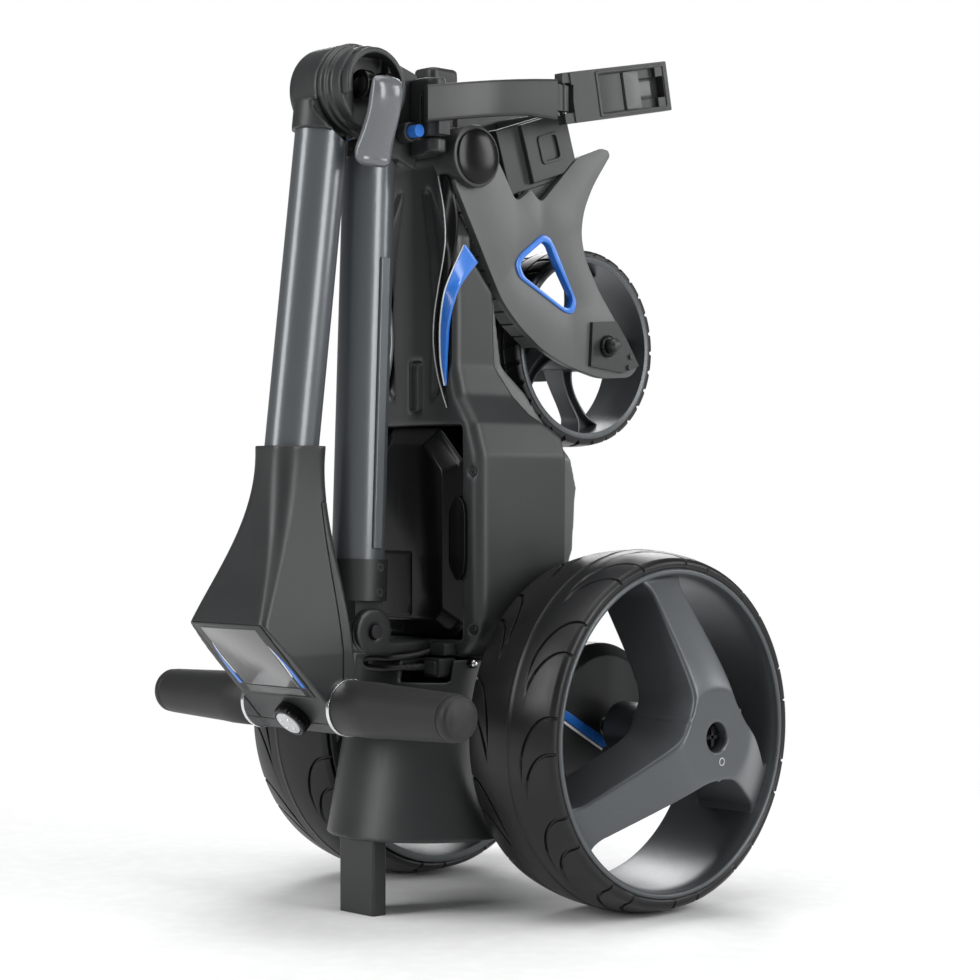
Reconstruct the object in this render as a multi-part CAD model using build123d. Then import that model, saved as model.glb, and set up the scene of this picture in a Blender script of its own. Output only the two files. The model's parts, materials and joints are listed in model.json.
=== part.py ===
from build123d import *
import math
import os

# Compact-fold electric golf trolley, folded and standing upright on its rear wheels and its foot.
# Millimetres. +Z is up, +X is the trolley's right side, -Y is the side of the handle and +Y the side
# of the front wheel. The layout is measured from the floor under the rear axle; save() then moves
# every piece so that the part's own origin is the middle of the foot's sole.

# ---- driving dimensions ----
axle_z = 131.6            # height of the rear axle
axle_r = 5.97             # driven axle
running_gap = 0.05        # radial clearance of a running fit
far = 80.0                # reach of a cutter that passes right through a part across X

tyre_crown_r = 131.6      # rear tyre, largest radius
tyre_outer_r = 125.0      # rear tyre at its outer edge
tyre_inner_r = 124.0      # rear tyre at its inner edge
tyre_seat_r = 118.0       # where the rear tyre sits on its rim
rim_wall = 4.5
wheel_inner_x = 80.0      # inner edge of a rear wheel
wheel_crown_x = 128.5
wheel_outer_x = 167.0
hub_face_x = 207.0        # the hub stands proud of the rim
hub_r = 20.0
spoke_angles = (94, 214, 334)
hub_button_r = 9.0

drum_r = 62.0             # transaxle housing across the trolley
drum_wall = 4.0
drum_half = 98.0
gear_offset = 34.0        # motor shaft to axle
gear_r = 27.95
pinion_r = 6.0

front_wheel_y, front_wheel_z = 56.0, 418.0
front_tyre_r = 77.3
front_rim_r = 71.0
front_half = 22.0

fork_y, fork_z = -86.0, 551.0     # fork pivot
fork_inner_x = 36.0
fork_outer_x = 42.0
fork_boss_r = 23.0

base_y, base_z = -160.0, 205.0    # fold hinge of the lower shaft
top_y, top_z = -172.0, 594.0      # fold hinge between the two shafts
tube_a, tube_b = 18.0, 20.0       # half-axes of the oval tubes, across and fore-and-aft
tube_wall = 2.0
lower_lean = 2.1                  # degrees that the folded lower shaft leans
upper_lean = 7.0                  # degrees that the folded upper shaft leans
upper_y_top, upper_z_top = -194.0, 545.0

bar_y, bar_z = -206.5, 155.0      # middle of the handle bar
screen_tilt = 46.7                # degrees of the screen panel from level
battery_half = 52.0
battery_low, battery_high = 199.0, 353.0

foot_half = 19.0                  # the stand foot, across
foot_front, foot_back = -160.0, -147.0
foot_middle = (foot_front + foot_back) / 2

os.makedirs("parts", exist_ok=True)


# ---- helpers ----
def save(name, *solids):
    """Write one node in the part's own frame; several solids make a group of separate pieces."""
    placed = [Pos(0, -foot_middle, 0) * solid for solid in solids]
    shape = placed[0] if len(placed) == 1 else Compound(children=placed)
    export_step(shape, f"parts/{name}.step")


def side_prism(points, x0, x1):
    """A prism whose outline is given in (y, z), between two x planes."""
    face = make_face(Polyline(*[(0, y, z) for y, z in points], close=True))
    return Pos(x0, 0, 0) * extrude(face, amount=x1 - x0, dir=(1, 0, 0))


def front_prism(points, y0, y1):
    """A prism whose outline is given in (x, z), between two y planes."""
    face = make_face(Polyline(*[(x, 0, z) for x, z in points], close=True))
    return Pos(0, y0, 0) * extrude(face, amount=y1 - y0, dir=(0, 1, 0))


def rod_x(r, x0, x1, y, z):
    return Pos((x0 + x1) / 2, y, z) * Rot(0, 90, 0) * Cylinder(r, x1 - x0)


def tube_x(r_out, r_in, x0, x1, y, z):
    return rod_x(r_out, x0, x1, y, z) - rod_x(r_in, x0 - 1, x1 + 1, y, z)


def block(x0, x1, y0, y1, z0, z1):
    box = Box(x1 - x0, y1 - y0, z1 - z0)
    return Pos((x0 + x1) / 2, (y0 + y1) / 2, (z0 + z1) / 2) * box


def turned(points, y, z):
    """A body of revolution about a line along X; its outline is given in (x, radius)."""
    face = make_face(Polyline(*points, close=True))
    return Pos(0, y, z) * revolve(face, Axis.X, 360)


def mirrored(shape):
    return mirror(shape, about=Plane.YZ)


def both_sides(shape):
    return shape, mirrored(shape)


def biggest(shape):
    """The one solid of a shape, or its largest when a cut left crumbs."""
    return max(shape.solids(), key=lambda s: s.volume)


def facing(y, z, lean):
    """A place in the Y-Z plane whose +Z leans from up towards +Y by an angle, with +X kept."""
    turn = math.radians(lean)
    return Plane((0, y, z), x_dir=(1, 0, 0), z_dir=(0, math.sin(turn), math.cos(turn))).location


# ---- rear wheels ----
def rear_tyre():
    outer = ThreePointArc((wheel_inner_x, tyre_inner_r), (wheel_crown_x, tyre_crown_r),
                          (wheel_outer_x, tyre_outer_r))
    rest = Polyline((wheel_outer_x, tyre_outer_r), (wheel_outer_x, tyre_seat_r),
                    (wheel_inner_x, tyre_seat_r), (wheel_inner_x, tyre_inner_r))
    ring = revolve(make_face(outer + rest), Axis.X, 360)
    ring = fillet(ring.edges().filter_by(GeomType.CIRCLE).filter_by(
        lambda e: e.radius > tyre_seat_r + 1), 2.5)
    return Pos(0, 0, axle_z) * ring


def spoke_star(width_rim, width_hub, hub, reach):
    """The flat outline of the three spokes, in (y, z) about the axle."""
    star = Circle(hub)
    for angle in spoke_angles:
        arm = make_face(Polyline((0, -width_hub), (reach * 0.55, -width_hub), (reach, -width_rim),
                                 (reach, width_rim), (reach * 0.55, width_hub), (0, width_hub),
                                 close=True))
        star += Rot(0, 0, angle) * arm
    return star


def along_x(sketch, x0, x1):
    """Extrude a sketch drawn in (y, z) about the axle from one x plane to another."""
    face = Plane.YZ * sketch
    return Pos(x0, 0, 0) * extrude(face, amount=x1 - x0, dir=(1, 0, 0))


spoke_back = 100.0        # where the spokes start along the axle
spoke_hub_half, spoke_rim_half = 19.0, 29.0
spoke_wall = 4.0
hub_nose_r = 26.0         # flat part of the hub's face
boss_x0 = 112.0           # inner end of the hub's sleeve
axle_end_x = 193.0
button_seat_x = 195.0     # floor of the pocket behind the release button


def rear_rim():
    seat = tyre_seat_r
    bore = seat - rim_wall
    barrel = turned([(wheel_inner_x - 2, bore), (wheel_inner_x - 2, seat + 2), (wheel_inner_x, seat + 2),
                     (wheel_inner_x, seat), (wheel_outer_x, seat), (wheel_outer_x, bore)], 0, 0)
    dome = turned([(spoke_back, 0), (hub_face_x, 0), (hub_face_x - 1, hub_nose_r),
                   (wheel_outer_x - 3, bore + 1), (wheel_crown_x, bore + 1),
                   (spoke_back, hub_nose_r + 8)], 0, 0)
    solid_star = along_x(spoke_star(spoke_rim_half, spoke_hub_half, hub_nose_r + 4, bore + 1),
                         spoke_back, hub_face_x)
    hollow_star = along_x(spoke_star(spoke_rim_half - spoke_wall, spoke_hub_half - spoke_wall, 0.5,
                                     bore - 3 * spoke_wall), spoke_back - 10, hub_face_x)
    hollow = turned([(spoke_back - 10, hub_r), (hub_face_x - 2 * spoke_wall, hub_r),
                     (hub_face_x - 2 * spoke_wall - 1, hub_nose_r),
                     (wheel_outer_x - 10, bore - 2 * spoke_wall),
                     (spoke_back + 20, bore - 2 * spoke_wall), (spoke_back - 10, hub_nose_r + 4)], 0, 0)
    spokes = dome & solid_star
    spokes -= hollow_star & hollow
    boss = rod_x(hub_r, boss_x0, hub_face_x - 1, 0, 0)
    wheel = barrel + spokes + boss
    wheel -= rod_x(axle_r + running_gap, wheel_inner_x - 20, button_seat_x, 0, 0)
    wheel -= rod_x(hub_button_r + running_gap, button_seat_x, hub_face_x + 20, 0, 0)
    return Pos(0, 0, axle_z) * biggest(wheel)


def hub_button():
    """The release button, with a cross cut into its face."""
    cross_half, cross_reach, cross_deep = 1.2, 6.0, 1.5
    face = hub_face_x - 2
    cap = rod_x(hub_button_r, face - 5, face, 0, axle_z)
    for y, z in ((cross_half, cross_reach), (cross_reach, cross_half)):
        cap -= block(face - cross_deep, face + 5, -y, y, axle_z - z, axle_z + z)
    return cap


right_rim, right_tyre, right_button = rear_rim(), rear_tyre(), hub_button()
save("rear_rim_right", right_rim)
save("rear_rim_left", mirrored(right_rim))
save("rear_tyre_right", right_tyre)
save("rear_tyre_left", mirrored(right_tyre))
save("hub_button_right", right_button)
save("hub_button_left", mirrored(right_button))


# ---- transaxle: drum, motor, gears ----
bearing_r = 11.0
bearing_x0, bearing_x1 = drum_half - 8, drum_half - 1
gear_case_x0, gear_case_x1 = 34.0, 60.0
gear_x0, gear_x1 = 41.0, 52.0
motor_y = -gear_offset
axle_room = axle_r + 1.5  # wide bores that the axle passes without touching
motor_x0 = -60.0
motor_case_r, motor_bore_r = 20.0, 16.0
motor_end_wall = 4.0
rotor_r, rotor_shaft_r = 13.0, 4.0
rotor_bush_r = rotor_shaft_r + running_gap
gearbox_wall = 3.0

axle_housing = rod_x(drum_r, -drum_half, drum_half, 0, axle_z)
axle_housing = chamfer(axle_housing.edges().filter_by(GeomType.CIRCLE), 9)
axle_housing -= rod_x(drum_r - drum_wall, -drum_half + 10, drum_half - 10, 0, axle_z)
axle_housing -= rod_x(bearing_r, -drum_half + 1, drum_half - 1, 0, axle_z)
axle_housing -= rod_x(axle_room, -drum_half - 1, drum_half + 1, 0, axle_z)
save("axle_housing", axle_housing)

bearing = tube_x(bearing_r, axle_r + running_gap, bearing_x0, bearing_x1, 0, axle_z)
save("axle_bearings", *both_sides(bearing))
save("axle_shaft", rod_x(axle_r, -axle_end_x, axle_end_x, 0, axle_z))
save("drive_gear", tube_x(gear_r, axle_r, gear_x0, gear_x1, 0, axle_z))

gearbox_case = rod_x(drum_r - drum_wall, gear_case_x0, gear_case_x1, 0, axle_z)
gearbox_case -= rod_x(drum_r - 2 * drum_wall, gear_case_x0 + gearbox_wall, gear_case_x1 - gearbox_wall,
                      0, axle_z)
gearbox_case -= rod_x(axle_room, 0, far, 0, axle_z)
gearbox_case -= rod_x(rotor_shaft_r + 0.6, 0, gear_case_x1 - 10, motor_y, axle_z)
save("gearbox_case", gearbox_case)

motor_case = tube_x(motor_case_r, motor_bore_r, motor_x0, gear_case_x0, motor_y, axle_z)
for end_x in (motor_x0, gear_case_x0 - motor_end_wall):
    motor_case += tube_x(motor_case_r, rotor_bush_r, end_x, end_x + motor_end_wall, motor_y, axle_z)
save("motor_case", motor_case)
motor_rotor = rod_x(rotor_shaft_r, motor_x0 - 4, gear_x1, motor_y, axle_z)
motor_rotor += rod_x(rotor_r, motor_x0 + 15, gear_case_x0 - 14, motor_y, axle_z)
motor_rotor += rod_x(pinion_r, gear_x0, gear_x1, motor_y, axle_z)
save("motor_rotor", motor_rotor)


# ---- chassis frame ----
def mirror_outline(half):
    """Close a half outline (x >= 0, from the bottom up) over the middle plane."""
    return half + [(-x, z) for x, z in reversed(half)]


bay_half = 72.0
frame_front, frame_back = -105.0, -16.0
neck_half = 44.0
drum_clear = rod_x(drum_r, -drum_half, drum_half, 0, axle_z)

front_view = mirror_outline([(58, 186), (66, 194), (bay_half, 212), (bay_half, 332), (64, 356),
                             (50, 376), (neck_half, 398), (neck_half, 492), (33, 510), (33, 545)])
side_view = [(frame_front, 186), (frame_front, 545), (-92, 560), (-78, 545), (-88, 505),
             (-86, 478), (-64, 452), (-62, 398), (-40, 362), (frame_back, 346), (frame_back, 240),
             (-40, 196), (-60, 186)]
chassis_frame = front_prism(front_view, -140, 20) & side_prism(side_view, -90, 90)
chassis_frame = fillet(chassis_frame.edges().filter_by(
    lambda e: abs(e.center().Y - frame_front) < 0.01 and abs(e.center().X) > 30), 9)
head_tube_r = 20.0
chassis_frame += rod_x(head_tube_r, -33, 33, fork_y, fork_z)
# battery bay, the hollow behind its floor, and the recesses for the gloss strips
bay_floor = -58.0
chassis_frame -= block(-battery_half - 1, battery_half + 1, frame_front - 1, bay_floor,
                       battery_low - 1, battery_high + 1)
chassis_frame -= block(-60, 60, -54, -22, 225, 335)
strip_floor = frame_front + 4
strip_outline = [(21, 372), (36, 386), (40, 402), (40, 488), (30, 504), (17, 528), (12, 528),
                 (21, 480), (24, 440)]
strip_pocket = front_prism(strip_outline, frame_front - 1, strip_floor)
chassis_frame -= strip_pocket
chassis_frame -= mirrored(strip_pocket)
# a narrow vent slot low on the spine
chassis_frame -= block(-3, 9, frame_front - 1, frame_front + 5, 364, 402)
chassis_frame -= drum_clear
pivot_pin_r = 7.0
chassis_frame -= rod_x(pivot_pin_r, -50, 50, fork_y, fork_z)

# ears that carry the base hinge of the lower shaft
ear_in, ear_out = 14.4, 21.0
ear_r = 17.0
ear = rod_x(ear_r, ear_in, ear_out, base_y, base_z)
ear += block(ear_in, ear_out, base_y, frame_front + 4, base_z - ear_r, base_z - 8)
chassis_frame += ear
chassis_frame += mirrored(ear)
chassis_frame += block(-ear_out, ear_out, -134, frame_front + 2, base_z - ear_r, base_z - 8)
hinge_pin_r = 5.0
chassis_frame -= rod_x(hinge_pin_r, -40, 40, base_y, base_z)
chassis_frame = biggest(chassis_frame)

strip = front_prism(strip_outline, strip_floor - 3, strip_floor)

# the blue stripe follows the outer edge of each gloss strip
stripe_outline = [(24, 384), (28, 392), (34, 430), (38, 462), (39.5, 484), (36, 484), (31, 450),
                  (27, 415)]
stripe = front_prism(stripe_outline, strip_floor - 4.2, strip_floor - 3)
save("gloss_strips", *both_sides(strip))
save("accent_stripes", *both_sides(stripe))
save("fork_pivot_pin", rod_x(pivot_pin_r, -44, 44, fork_y, fork_z))
save("base_hinge_pin", rod_x(hinge_pin_r, -24, 24, base_y, base_z))


# ---- covers, foot, small fittings ----
cover_side = [(-62, 398), (-64, 450), (-58, 450), (-50, 400), (-30, 380), (-12, 350), (-1, 332),
              (6, 308), (3, 262), (-6, 240), (frame_back, 230), (frame_back, 346), (-40, 362)]
cover_front = mirror_outline([(50, 225), (60, 240), (62, 330), (48, 360), (38, 395), (38, 452)])
underside_cover = side_prism(cover_side, -70, 70) & front_prism(cover_front, -80, 40)
underside_cover -= block(-44, 44, -34, -20, 354, 372)
underside_cover -= drum_clear
underside_cover -= chassis_frame
underside_cover = biggest(underside_cover)
save("underside_cover", underside_cover)


def bow(half, nose, back):
    """A D-shaped outline in (x, y): straight at the back, bowed out to the nose."""
    arc = ThreePointArc((-half, back), (0, nose), (half, back))
    return make_face(arc + Line((half, back), (-half, back)))


cover_top_z, cover_low_z = 184.0, 54.0
skin = 3.0
outer = loft([Pos(0, 0, cover_low_z) * bow(72, -166, -84),
              Pos(0, 0, cover_top_z) * bow(64, -140, -84)], ruled=True)
inner = loft([Pos(0, 0, cover_low_z - 1) * bow(72 - skin, -166 + skin, -84 + 1),
              Pos(0, 0, cover_top_z - 4) * bow(64 - skin, -140 + skin, -84 + 1)], ruled=True)
rear_cover = outer - inner
rear_cover += block(-66, 66, -86, -83, 74, cover_top_z)
for x in (-40, 40):
    rear_cover += block(x - 6, x + 6, -85, -56, 100, 150)
rear_cover -= drum_clear
foot_top = 66.0
foot_pocket = block(-foot_half, foot_half, foot_front, foot_back, -1, foot_top)
rear_cover -= foot_pocket
# room for the battery lead and its plug
rear_cover -= block(22, 52, -140, -100, 168, 190)
rear_cover -= chassis_frame
rear_cover = biggest(rear_cover)
save("rear_cover", rear_cover)

stand_foot = block(-foot_half, foot_half, foot_front, foot_back, 0, foot_top)
stand_foot = fillet(stand_foot.edges().filter_by(Axis.Z), 2)
stand_foot += block(-12, 12, foot_back - 1, -86, foot_top - 8, foot_top)
stand_foot -= rear_cover
stand_foot = biggest(stand_foot)
save("stand_foot", stand_foot)

screw_r, screw_slot_r = 3.2, 1.4
screws = []
for x in (-64, 64):
    for z in (206, 320):
        hole = Pos(x, frame_front + 2, z) * Rot(90, 0, 0) * Cylinder(screw_r, 4.02)
        chassis_frame -= hole
        screw = Pos(x, frame_front + 2.4, z) * Rot(90, 0, 0) * Cylinder(screw_r, 3.2)
        screw -= Pos(x, frame_front + 0.8, z) * Rot(90, 0, 0) * Cylinder(screw_slot_r, 2)
        screws.append(screw)
save("chassis_screws", *screws)


# ---- battery ----
battery_front = -112.0
battery_split = -96.0      # the lid in front of it, the case behind
foot_cut, top_cut = 10.0, 26.0   # the battery's lower and upper corners are cut off by this much
case_outline = [(-battery_half, battery_low + foot_cut), (-battery_half + foot_cut, battery_low),
                (battery_half - foot_cut, battery_low), (battery_half, battery_low + foot_cut),
                (battery_half, battery_high - top_cut), (battery_half - top_cut, battery_high),
                (-battery_half + top_cut, battery_high), (-battery_half, battery_high - top_cut)]
battery_case = front_prism(case_outline, battery_split, bay_floor)
case_wall = 4.0
cavity = block(-battery_half + case_wall, battery_half - case_wall, battery_split - 1, bay_floor - 3,
               battery_low + case_wall, battery_high - top_cut)
battery_case -= cavity
save("battery_case", battery_case)

lid = front_prism(case_outline, battery_front, battery_split)
lid = chamfer(lid.edges().filter_by(lambda e: abs(e.center().Y - battery_front) < 0.01), 6)
grip_pocket = block(battery_half - 9, battery_half + 1, battery_front - 1, battery_split - 3, 246, 318)
lid -= grip_pocket
lid -= mirrored(grip_pocket)
lid -= block(-battery_half + 12, battery_half - 12, battery_split - 8, battery_split + 1,
             battery_low + 6, battery_high - top_cut - 2)
save("battery_lid", lid)

cell_r, cell_long = 8.8, 60.0
cells = []
for row in (0, 1):
    for col in range(5):
        z = battery_low + 5 + cell_long / 2 + row * (cell_long + 1)
        cells.append(Pos(-38 + 19 * col, -78, z) * Cylinder(cell_r, cell_long))
save("battery_cells", *cells)

plug = block(30, 48, -122, -106, 172, 185.5)
lead_path = Spline((33, -121, 178), (27, -130, 179), (25, -134, 185), (28, -130, 191), (33, -116, 191.4))
lead = sweep(Plane(lead_path @ 0, z_dir=lead_path % 0) * Circle(2.4), lead_path)
battery_plug = block(32, 48, -117, frame_front, 186.8, 196)
chassis_frame = biggest(chassis_frame)
save("battery_lead", plug, biggest(lead - plug - battery_plug), battery_plug - chassis_frame)
save("chassis_frame", chassis_frame)
save("controller_board", block(-50, 50, -44, -42.4, 240, 320) +
     block(-30, -5, -42.4, -34, 260, 290) + block(10, 25, -42.4, -30, 250, 275))


# ---- lower shaft ----
lower_frame = facing(base_y, base_z, lower_lean)
socket_low, socket_high = 20.0, 52.0      # along the shaft from the base hinge
lower_top = 349.0
strake_low, strake_high = 60.0, 270.0

oval = Ellipse(tube_a, tube_b)
oval_bore = Ellipse(tube_a - tube_wall, tube_b - tube_wall)


def oval_tube(z0, z1):
    return Pos(0, 0, z0) * (extrude(oval, z1 - z0) - extrude(oval_bore, z1 - z0))


strake = Pos(tube_a - 0.6, 2, (strake_low + strake_high) / 2) * Box(5, 9, strake_high - strake_low)
strake = fillet(strake.edges().filter_by(Axis.Z), 1.5)
strake -= Pos(0, 0, strake_low - 1) * extrude(oval_bore, strake_high - strake_low + 2)
lower_tube = lower_frame * (oval_tube(socket_high - 26, lower_top) + strake)
save("lower_tube", lower_tube)

socket = extrude(Ellipse(tube_a + 2.5, tube_b + 2.5), socket_high - socket_low - 2)
socket = Pos(0, 0, socket_low + 2) * socket
socket -= Pos(0, 0, socket_high - 26) * extrude(oval, 40)
knuckle = rod_x(ear_r - 1, -ear_in + 0.4, ear_in - 0.4, 0, 0)
knuckle += block(-ear_in + 0.4, ear_in - 0.4, -13, 13, 0, socket_low + 6)
base_socket = socket + knuckle
base_socket -= rod_x(hinge_pin_r + running_gap, -40, 40, 0, 0)
screw_sites = [(socket_low + 8, 4), (socket_high - 6, 4)]
socket_screws = []
for z, y in screw_sites:
    screw_hole = Pos(tube_a + 1.5, y, z) * Rot(0, 90, 0) * Cylinder(3.4, 4)
    base_socket -= screw_hole
    screw = Pos(tube_a + 1.2, y, z) * Rot(0, 90, 0) * Cylinder(3.4, 2.6)
    screw -= Pos(tube_a + 2.5, y, z) * Rot(0, 90, 0) * Cylinder(1.5, 2)
    socket_screws.append(lower_frame * screw)
socket_shape = lower_frame * base_socket - lower_tube
for screw in socket_screws:
    socket_shape -= screw
socket_shape = biggest(socket_shape)
save("base_socket", socket_shape)
save("socket_screws", *[biggest(s - lower_tube) for s in socket_screws])

# top hinge: a ringed disc on the right, carried by a neck on the lower tube
face_x = 10.0              # the plane where the two hinge halves meet
disc_r = 33.0
hinge_head = rod_x(disc_r, face_x + 0.1, face_x + 5, top_y, top_z)
hinge_head += rod_x(disc_r - 2, face_x + 5, face_x + 10, top_y, top_z)
hinge_head += rod_x(disc_r - 4, face_x + 10, face_x + 21, top_y, top_z)
neck_side = [(-186, 566), (-120, 540), (-118, 610), (-150, 620)]
hinge_head += side_prism(neck_side, face_x + 0.1, face_x + 10)
collar = lower_frame * Pos(0, 0, lower_top - 8) * extrude(Ellipse(tube_a + 2, tube_b + 0.8), 14)
hinge_head += collar
hinge_head += block(-face_x, face_x + 10, -139, -118, 548, 600)
hinge_sweep = rod_x(disc_r + 1.5, -40, face_x + 0.1, top_y, top_z)
hinge_head -= hinge_sweep
hinge_head -= lower_tube
bolt_r = 5.0
hinge_head -= rod_x(bolt_r, -40, 60, top_y, top_z)
# a pocket in the disc that the cam lever folds into
lever_pocket = block(face_x + 13, 60, top_y - 16, top_y + 16, top_z - 40, top_z + 23)
hinge_head -= lever_pocket

hinge_bolt = rod_x(bolt_r, -24, 34, top_y, top_z)
barrel_x = 34.0
barrel = Pos(barrel_x, top_y, top_z) * Rot(90, 0, 0) * Cylinder(6, 22)
hinge_bolt += barrel
save("hinge_bolt", hinge_bolt)

# cam lever: two round cheeks on the barrel, then a curved paddle down the shaft
lever_half = 14.5
cam_r = 10.8
paddle = [(27, 590), (44, 602), (47, 596), (46.5, 580), (43, 556), (42, 545), (44, 535), (42.5, 530),
          (37, 532), (34.5, 545), (36, 560), (38, 580)]
cam_lever = front_prism(paddle, top_y - lever_half, top_y + lever_half)
cam_lever += Pos(barrel_x, top_y, top_z) * Rot(90, 0, 0) * Cylinder(cam_r, 2 * lever_half)
barrel_room = Pos(barrel_x, top_y, top_z) * Rot(90, 0, 0) * Cylinder(6 + running_gap, 22.4)
cam_lever -= barrel_room
# the slot lets the bolt's shank pass as the lever turns out and up through its whole range
bolt_room = bolt_r + 0.5
lever_open = math.radians(112)
slot_reach = 40.0
slot_dir = (-math.cos(lever_open), math.sin(lever_open))
slot_corner = (barrel_x + bolt_room * slot_dir[1], top_z - bolt_room * slot_dir[0])
slot_end = (slot_corner[0] + slot_reach * slot_dir[0], slot_corner[1] + slot_reach * slot_dir[1])
bolt_slot = [(barrel_x - slot_reach, top_z - bolt_room), (barrel_x, top_z - bolt_room), slot_corner,
             slot_end, (barrel_x - slot_reach, top_z + slot_reach)]
cam_lever -= front_prism(bolt_slot, top_y - bolt_room, top_y + bolt_room)
save("cam_lever", biggest(cam_lever))

# bag cradle behind the top of the lower tube: a back plate, a shelf and a raised pad
arm_pivot_x, arm_pivot_y, arm_z = 40.0, -119.0, 578.0
arm_pin_r, knuckle_r = 4.0, 8.0
knuckle_high, knuckle_gap = 54.0, 33.6    # the arm's hub turns in the gap between two knuckles
shelf_low, shelf_high = 592.0, 604.0
pad_half, pad_top = 12.0, 621.0
cradle = block(-36, 36, arm_pivot_y - 7, arm_pivot_y + 7, 549, shelf_high + 2)
cradle += block(-28, 28, arm_pivot_y + 6, -62, shelf_low, shelf_high)
pad = block(-pad_half, pad_half, -96, -68, shelf_high - 1, pad_top)
pad = fillet(pad.edges().filter_by(Axis.Z), 6)
cradle += fillet(pad.edges().group_by(Axis.Z)[-1], 3)
cradle -= hinge_head
cradle -= lower_tube
for side in (1, -1):
    at_pin = Pos(side * arm_pivot_x, arm_pivot_y, arm_z)
    cradle += at_pin * Cylinder(knuckle_r, knuckle_high)
    cradle -= at_pin * Cylinder(knuckle_r + 2, knuckle_gap)
    cradle += at_pin * Cylinder(arm_pin_r, knuckle_high - 8)
cradle = biggest(cradle - hinge_head)

button_r = 4.5
button_y, button_z = -133.0, 566.0
arm_button = rod_x(button_r, 26, 39, button_y, button_z)
button_room = rod_x(button_r + running_gap, 22, 60, button_y, button_z)
button_boss = rod_x(button_r + 3, 16, 31, button_y, button_z)
cradle += button_boss - hinge_head - lower_tube
cradle += mirrored(button_boss) - hinge_head - lower_tube
cradle -= button_room
cradle -= mirrored(button_room)
hinge_head -= cradle
save("bag_cradle", biggest(cradle))
save("top_hinge_head", biggest(hinge_head))
save("arm_button_right", arm_button)
save("arm_button_left", mirrored(arm_button))


# ---- bag-support arms and strap clasps ----
tip_x, tip_y = 64.0, -12.0
arm_rise = 0.20            # climb of an arm per millimetre along Y


def sheared(x_y, z_mid, height, thick):
    """A wall of even thickness along a run of (x, y) points that climbs as it runs."""
    wall = None
    for (x0, y0), (x1, y1) in zip(x_y, x_y[1:]):
        ends = []
        for x, y in ((x0, y0), (x1, y1)):
            z = z_mid + arm_rise * (y - arm_pivot_y)
            ends.append((x, y, z))
        direction = (x1 - x0, y1 - y0, 0)
        faces = []
        for x, y, z in ends:
            plane = Plane((x, y, z), x_dir=(0, 0, 1), z_dir=direction)
            faces.append(plane * Rectangle(height, thick))
        piece = loft(faces, ruled=True)
        wall = piece if wall is None else wall + piece
    return wall


arm_high, arm_thick = 30.0, 7.0
arm_hub_high = 31.0
arm_run = [(arm_pivot_x, arm_pivot_y), (56, -109), (61, -84), (tip_x, -50), (tip_x, tip_y - 8)]
bag_arm = sheared(arm_run, arm_z, arm_high, arm_thick)
for x, y in arm_run[1:-1]:
    z = arm_z + arm_rise * (y - arm_pivot_y)
    bag_arm += Pos(x, y, z) * Cylinder(arm_thick / 2, arm_high - 0.4)
bag_arm += Pos(arm_pivot_x, arm_pivot_y, arm_z) * Cylinder(knuckle_r, arm_hub_high)
bag_arm -= Pos(arm_pivot_x, arm_pivot_y, arm_z) * Cylinder(arm_pin_r + running_gap, 2 * arm_hub_high)
clasp_z = arm_z + arm_rise * (tip_y - arm_pivot_y)
at_tip = Pos(tip_x, tip_y, clasp_z)
tip_hub_r, tip_hub_high = 4.5, 20.0
bag_arm += at_tip * Cylinder(tip_hub_r, tip_hub_high)
bag_arm += at_tip * block(-3, 3, -9, 0, -tip_hub_high / 2, tip_hub_high / 2)
clasp_pin_r = 2.0
bag_arm -= at_tip * Cylinder(clasp_pin_r + running_gap, 2 * arm_hub_high)
bag_arm = biggest(bag_arm)
save("bag_arm_right", bag_arm)
save("bag_arm_left", mirrored(bag_arm))

clasp_long, clasp_half = 114.0, 19.0
lug_low = 11.2             # the clasp's two hinge lugs reach from here to its edges
clasp_tilt = math.degrees(math.atan(arm_rise))
clasp = block(-4, 5, 6, clasp_long, -clasp_half, clasp_half)
clasp += block(-4, 4, -4, 8, -clasp_half, -lug_low)
clasp += block(-4, 4, -4, 8, lug_low, clasp_half)
clasp = fillet(clasp.edges().filter_by(Axis.X), 1.2)
clasp -= block(1.5, 6, 36, 100, -clasp_half + 4, clasp_half - 4)
clasp -= block(-5, 6, 78, 108, -8, 8)
clasp = at_tip * Rot(clasp_tilt, 0, 0) * clasp
clasp -= at_tip * Cylinder(tip_hub_r + 3.5, tip_hub_high + 1)
clasp += at_tip * Cylinder(clasp_pin_r, tip_hub_high + 4)
# the end of the clasp that faces the arm is cut straight
clasp = biggest(clasp - at_tip * block(-far, far, -30, -4.6, -100, 100))
save("strap_clasp_right", clasp)
save("strap_clasp_left", mirrored(clasp))


# ---- fork and front wheel ----
plate_edge = [(-104, 536), (-54, 448), (-36, 430), (-12, 413), (14, 402), (53, 393), (85, 395),
              (95, 405), (75, 430), (50, 460), (35, 484), (30, 502), (33, 521), (43, 541), (62, 566),
              (60, 570), (52, 571), (27, 562), (-13, 523), (-24, 533), (-28, 529), (-39, 522),
              (-54, 546), (-66, 562)]
plate = side_prism(plate_edge, fork_inner_x, fork_outer_x)
plate += rod_x(fork_boss_r, fork_inner_x, fork_outer_x, fork_y, fork_z)
window_edge = [(-12, 500), (-4, 498), (3, 488), (25, 450), (21, 441), (12, 442), (-37, 466),
               (-41, 476), (-36, 483)]
window = side_prism(window_edge, fork_inner_x - 1, fork_outer_x + 1)
plate -= window
pin_bore = rod_x(pivot_pin_r + running_gap, -60, 60, fork_y, fork_z)
flange_edge = [(-83.5, 500), (-54, 448), (-36, 430), (-12, 413), (-9, 417), (-33, 434), (-50, 451),
               (-79, 503)]
flange = side_prism(flange_edge, 22, fork_inner_x)
flange -= rod_x(head_tube_r + 4, -60, 60, fork_y, fork_z)
front_axle_r = 5.0
plate += flange
plate -= pin_bore
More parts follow.
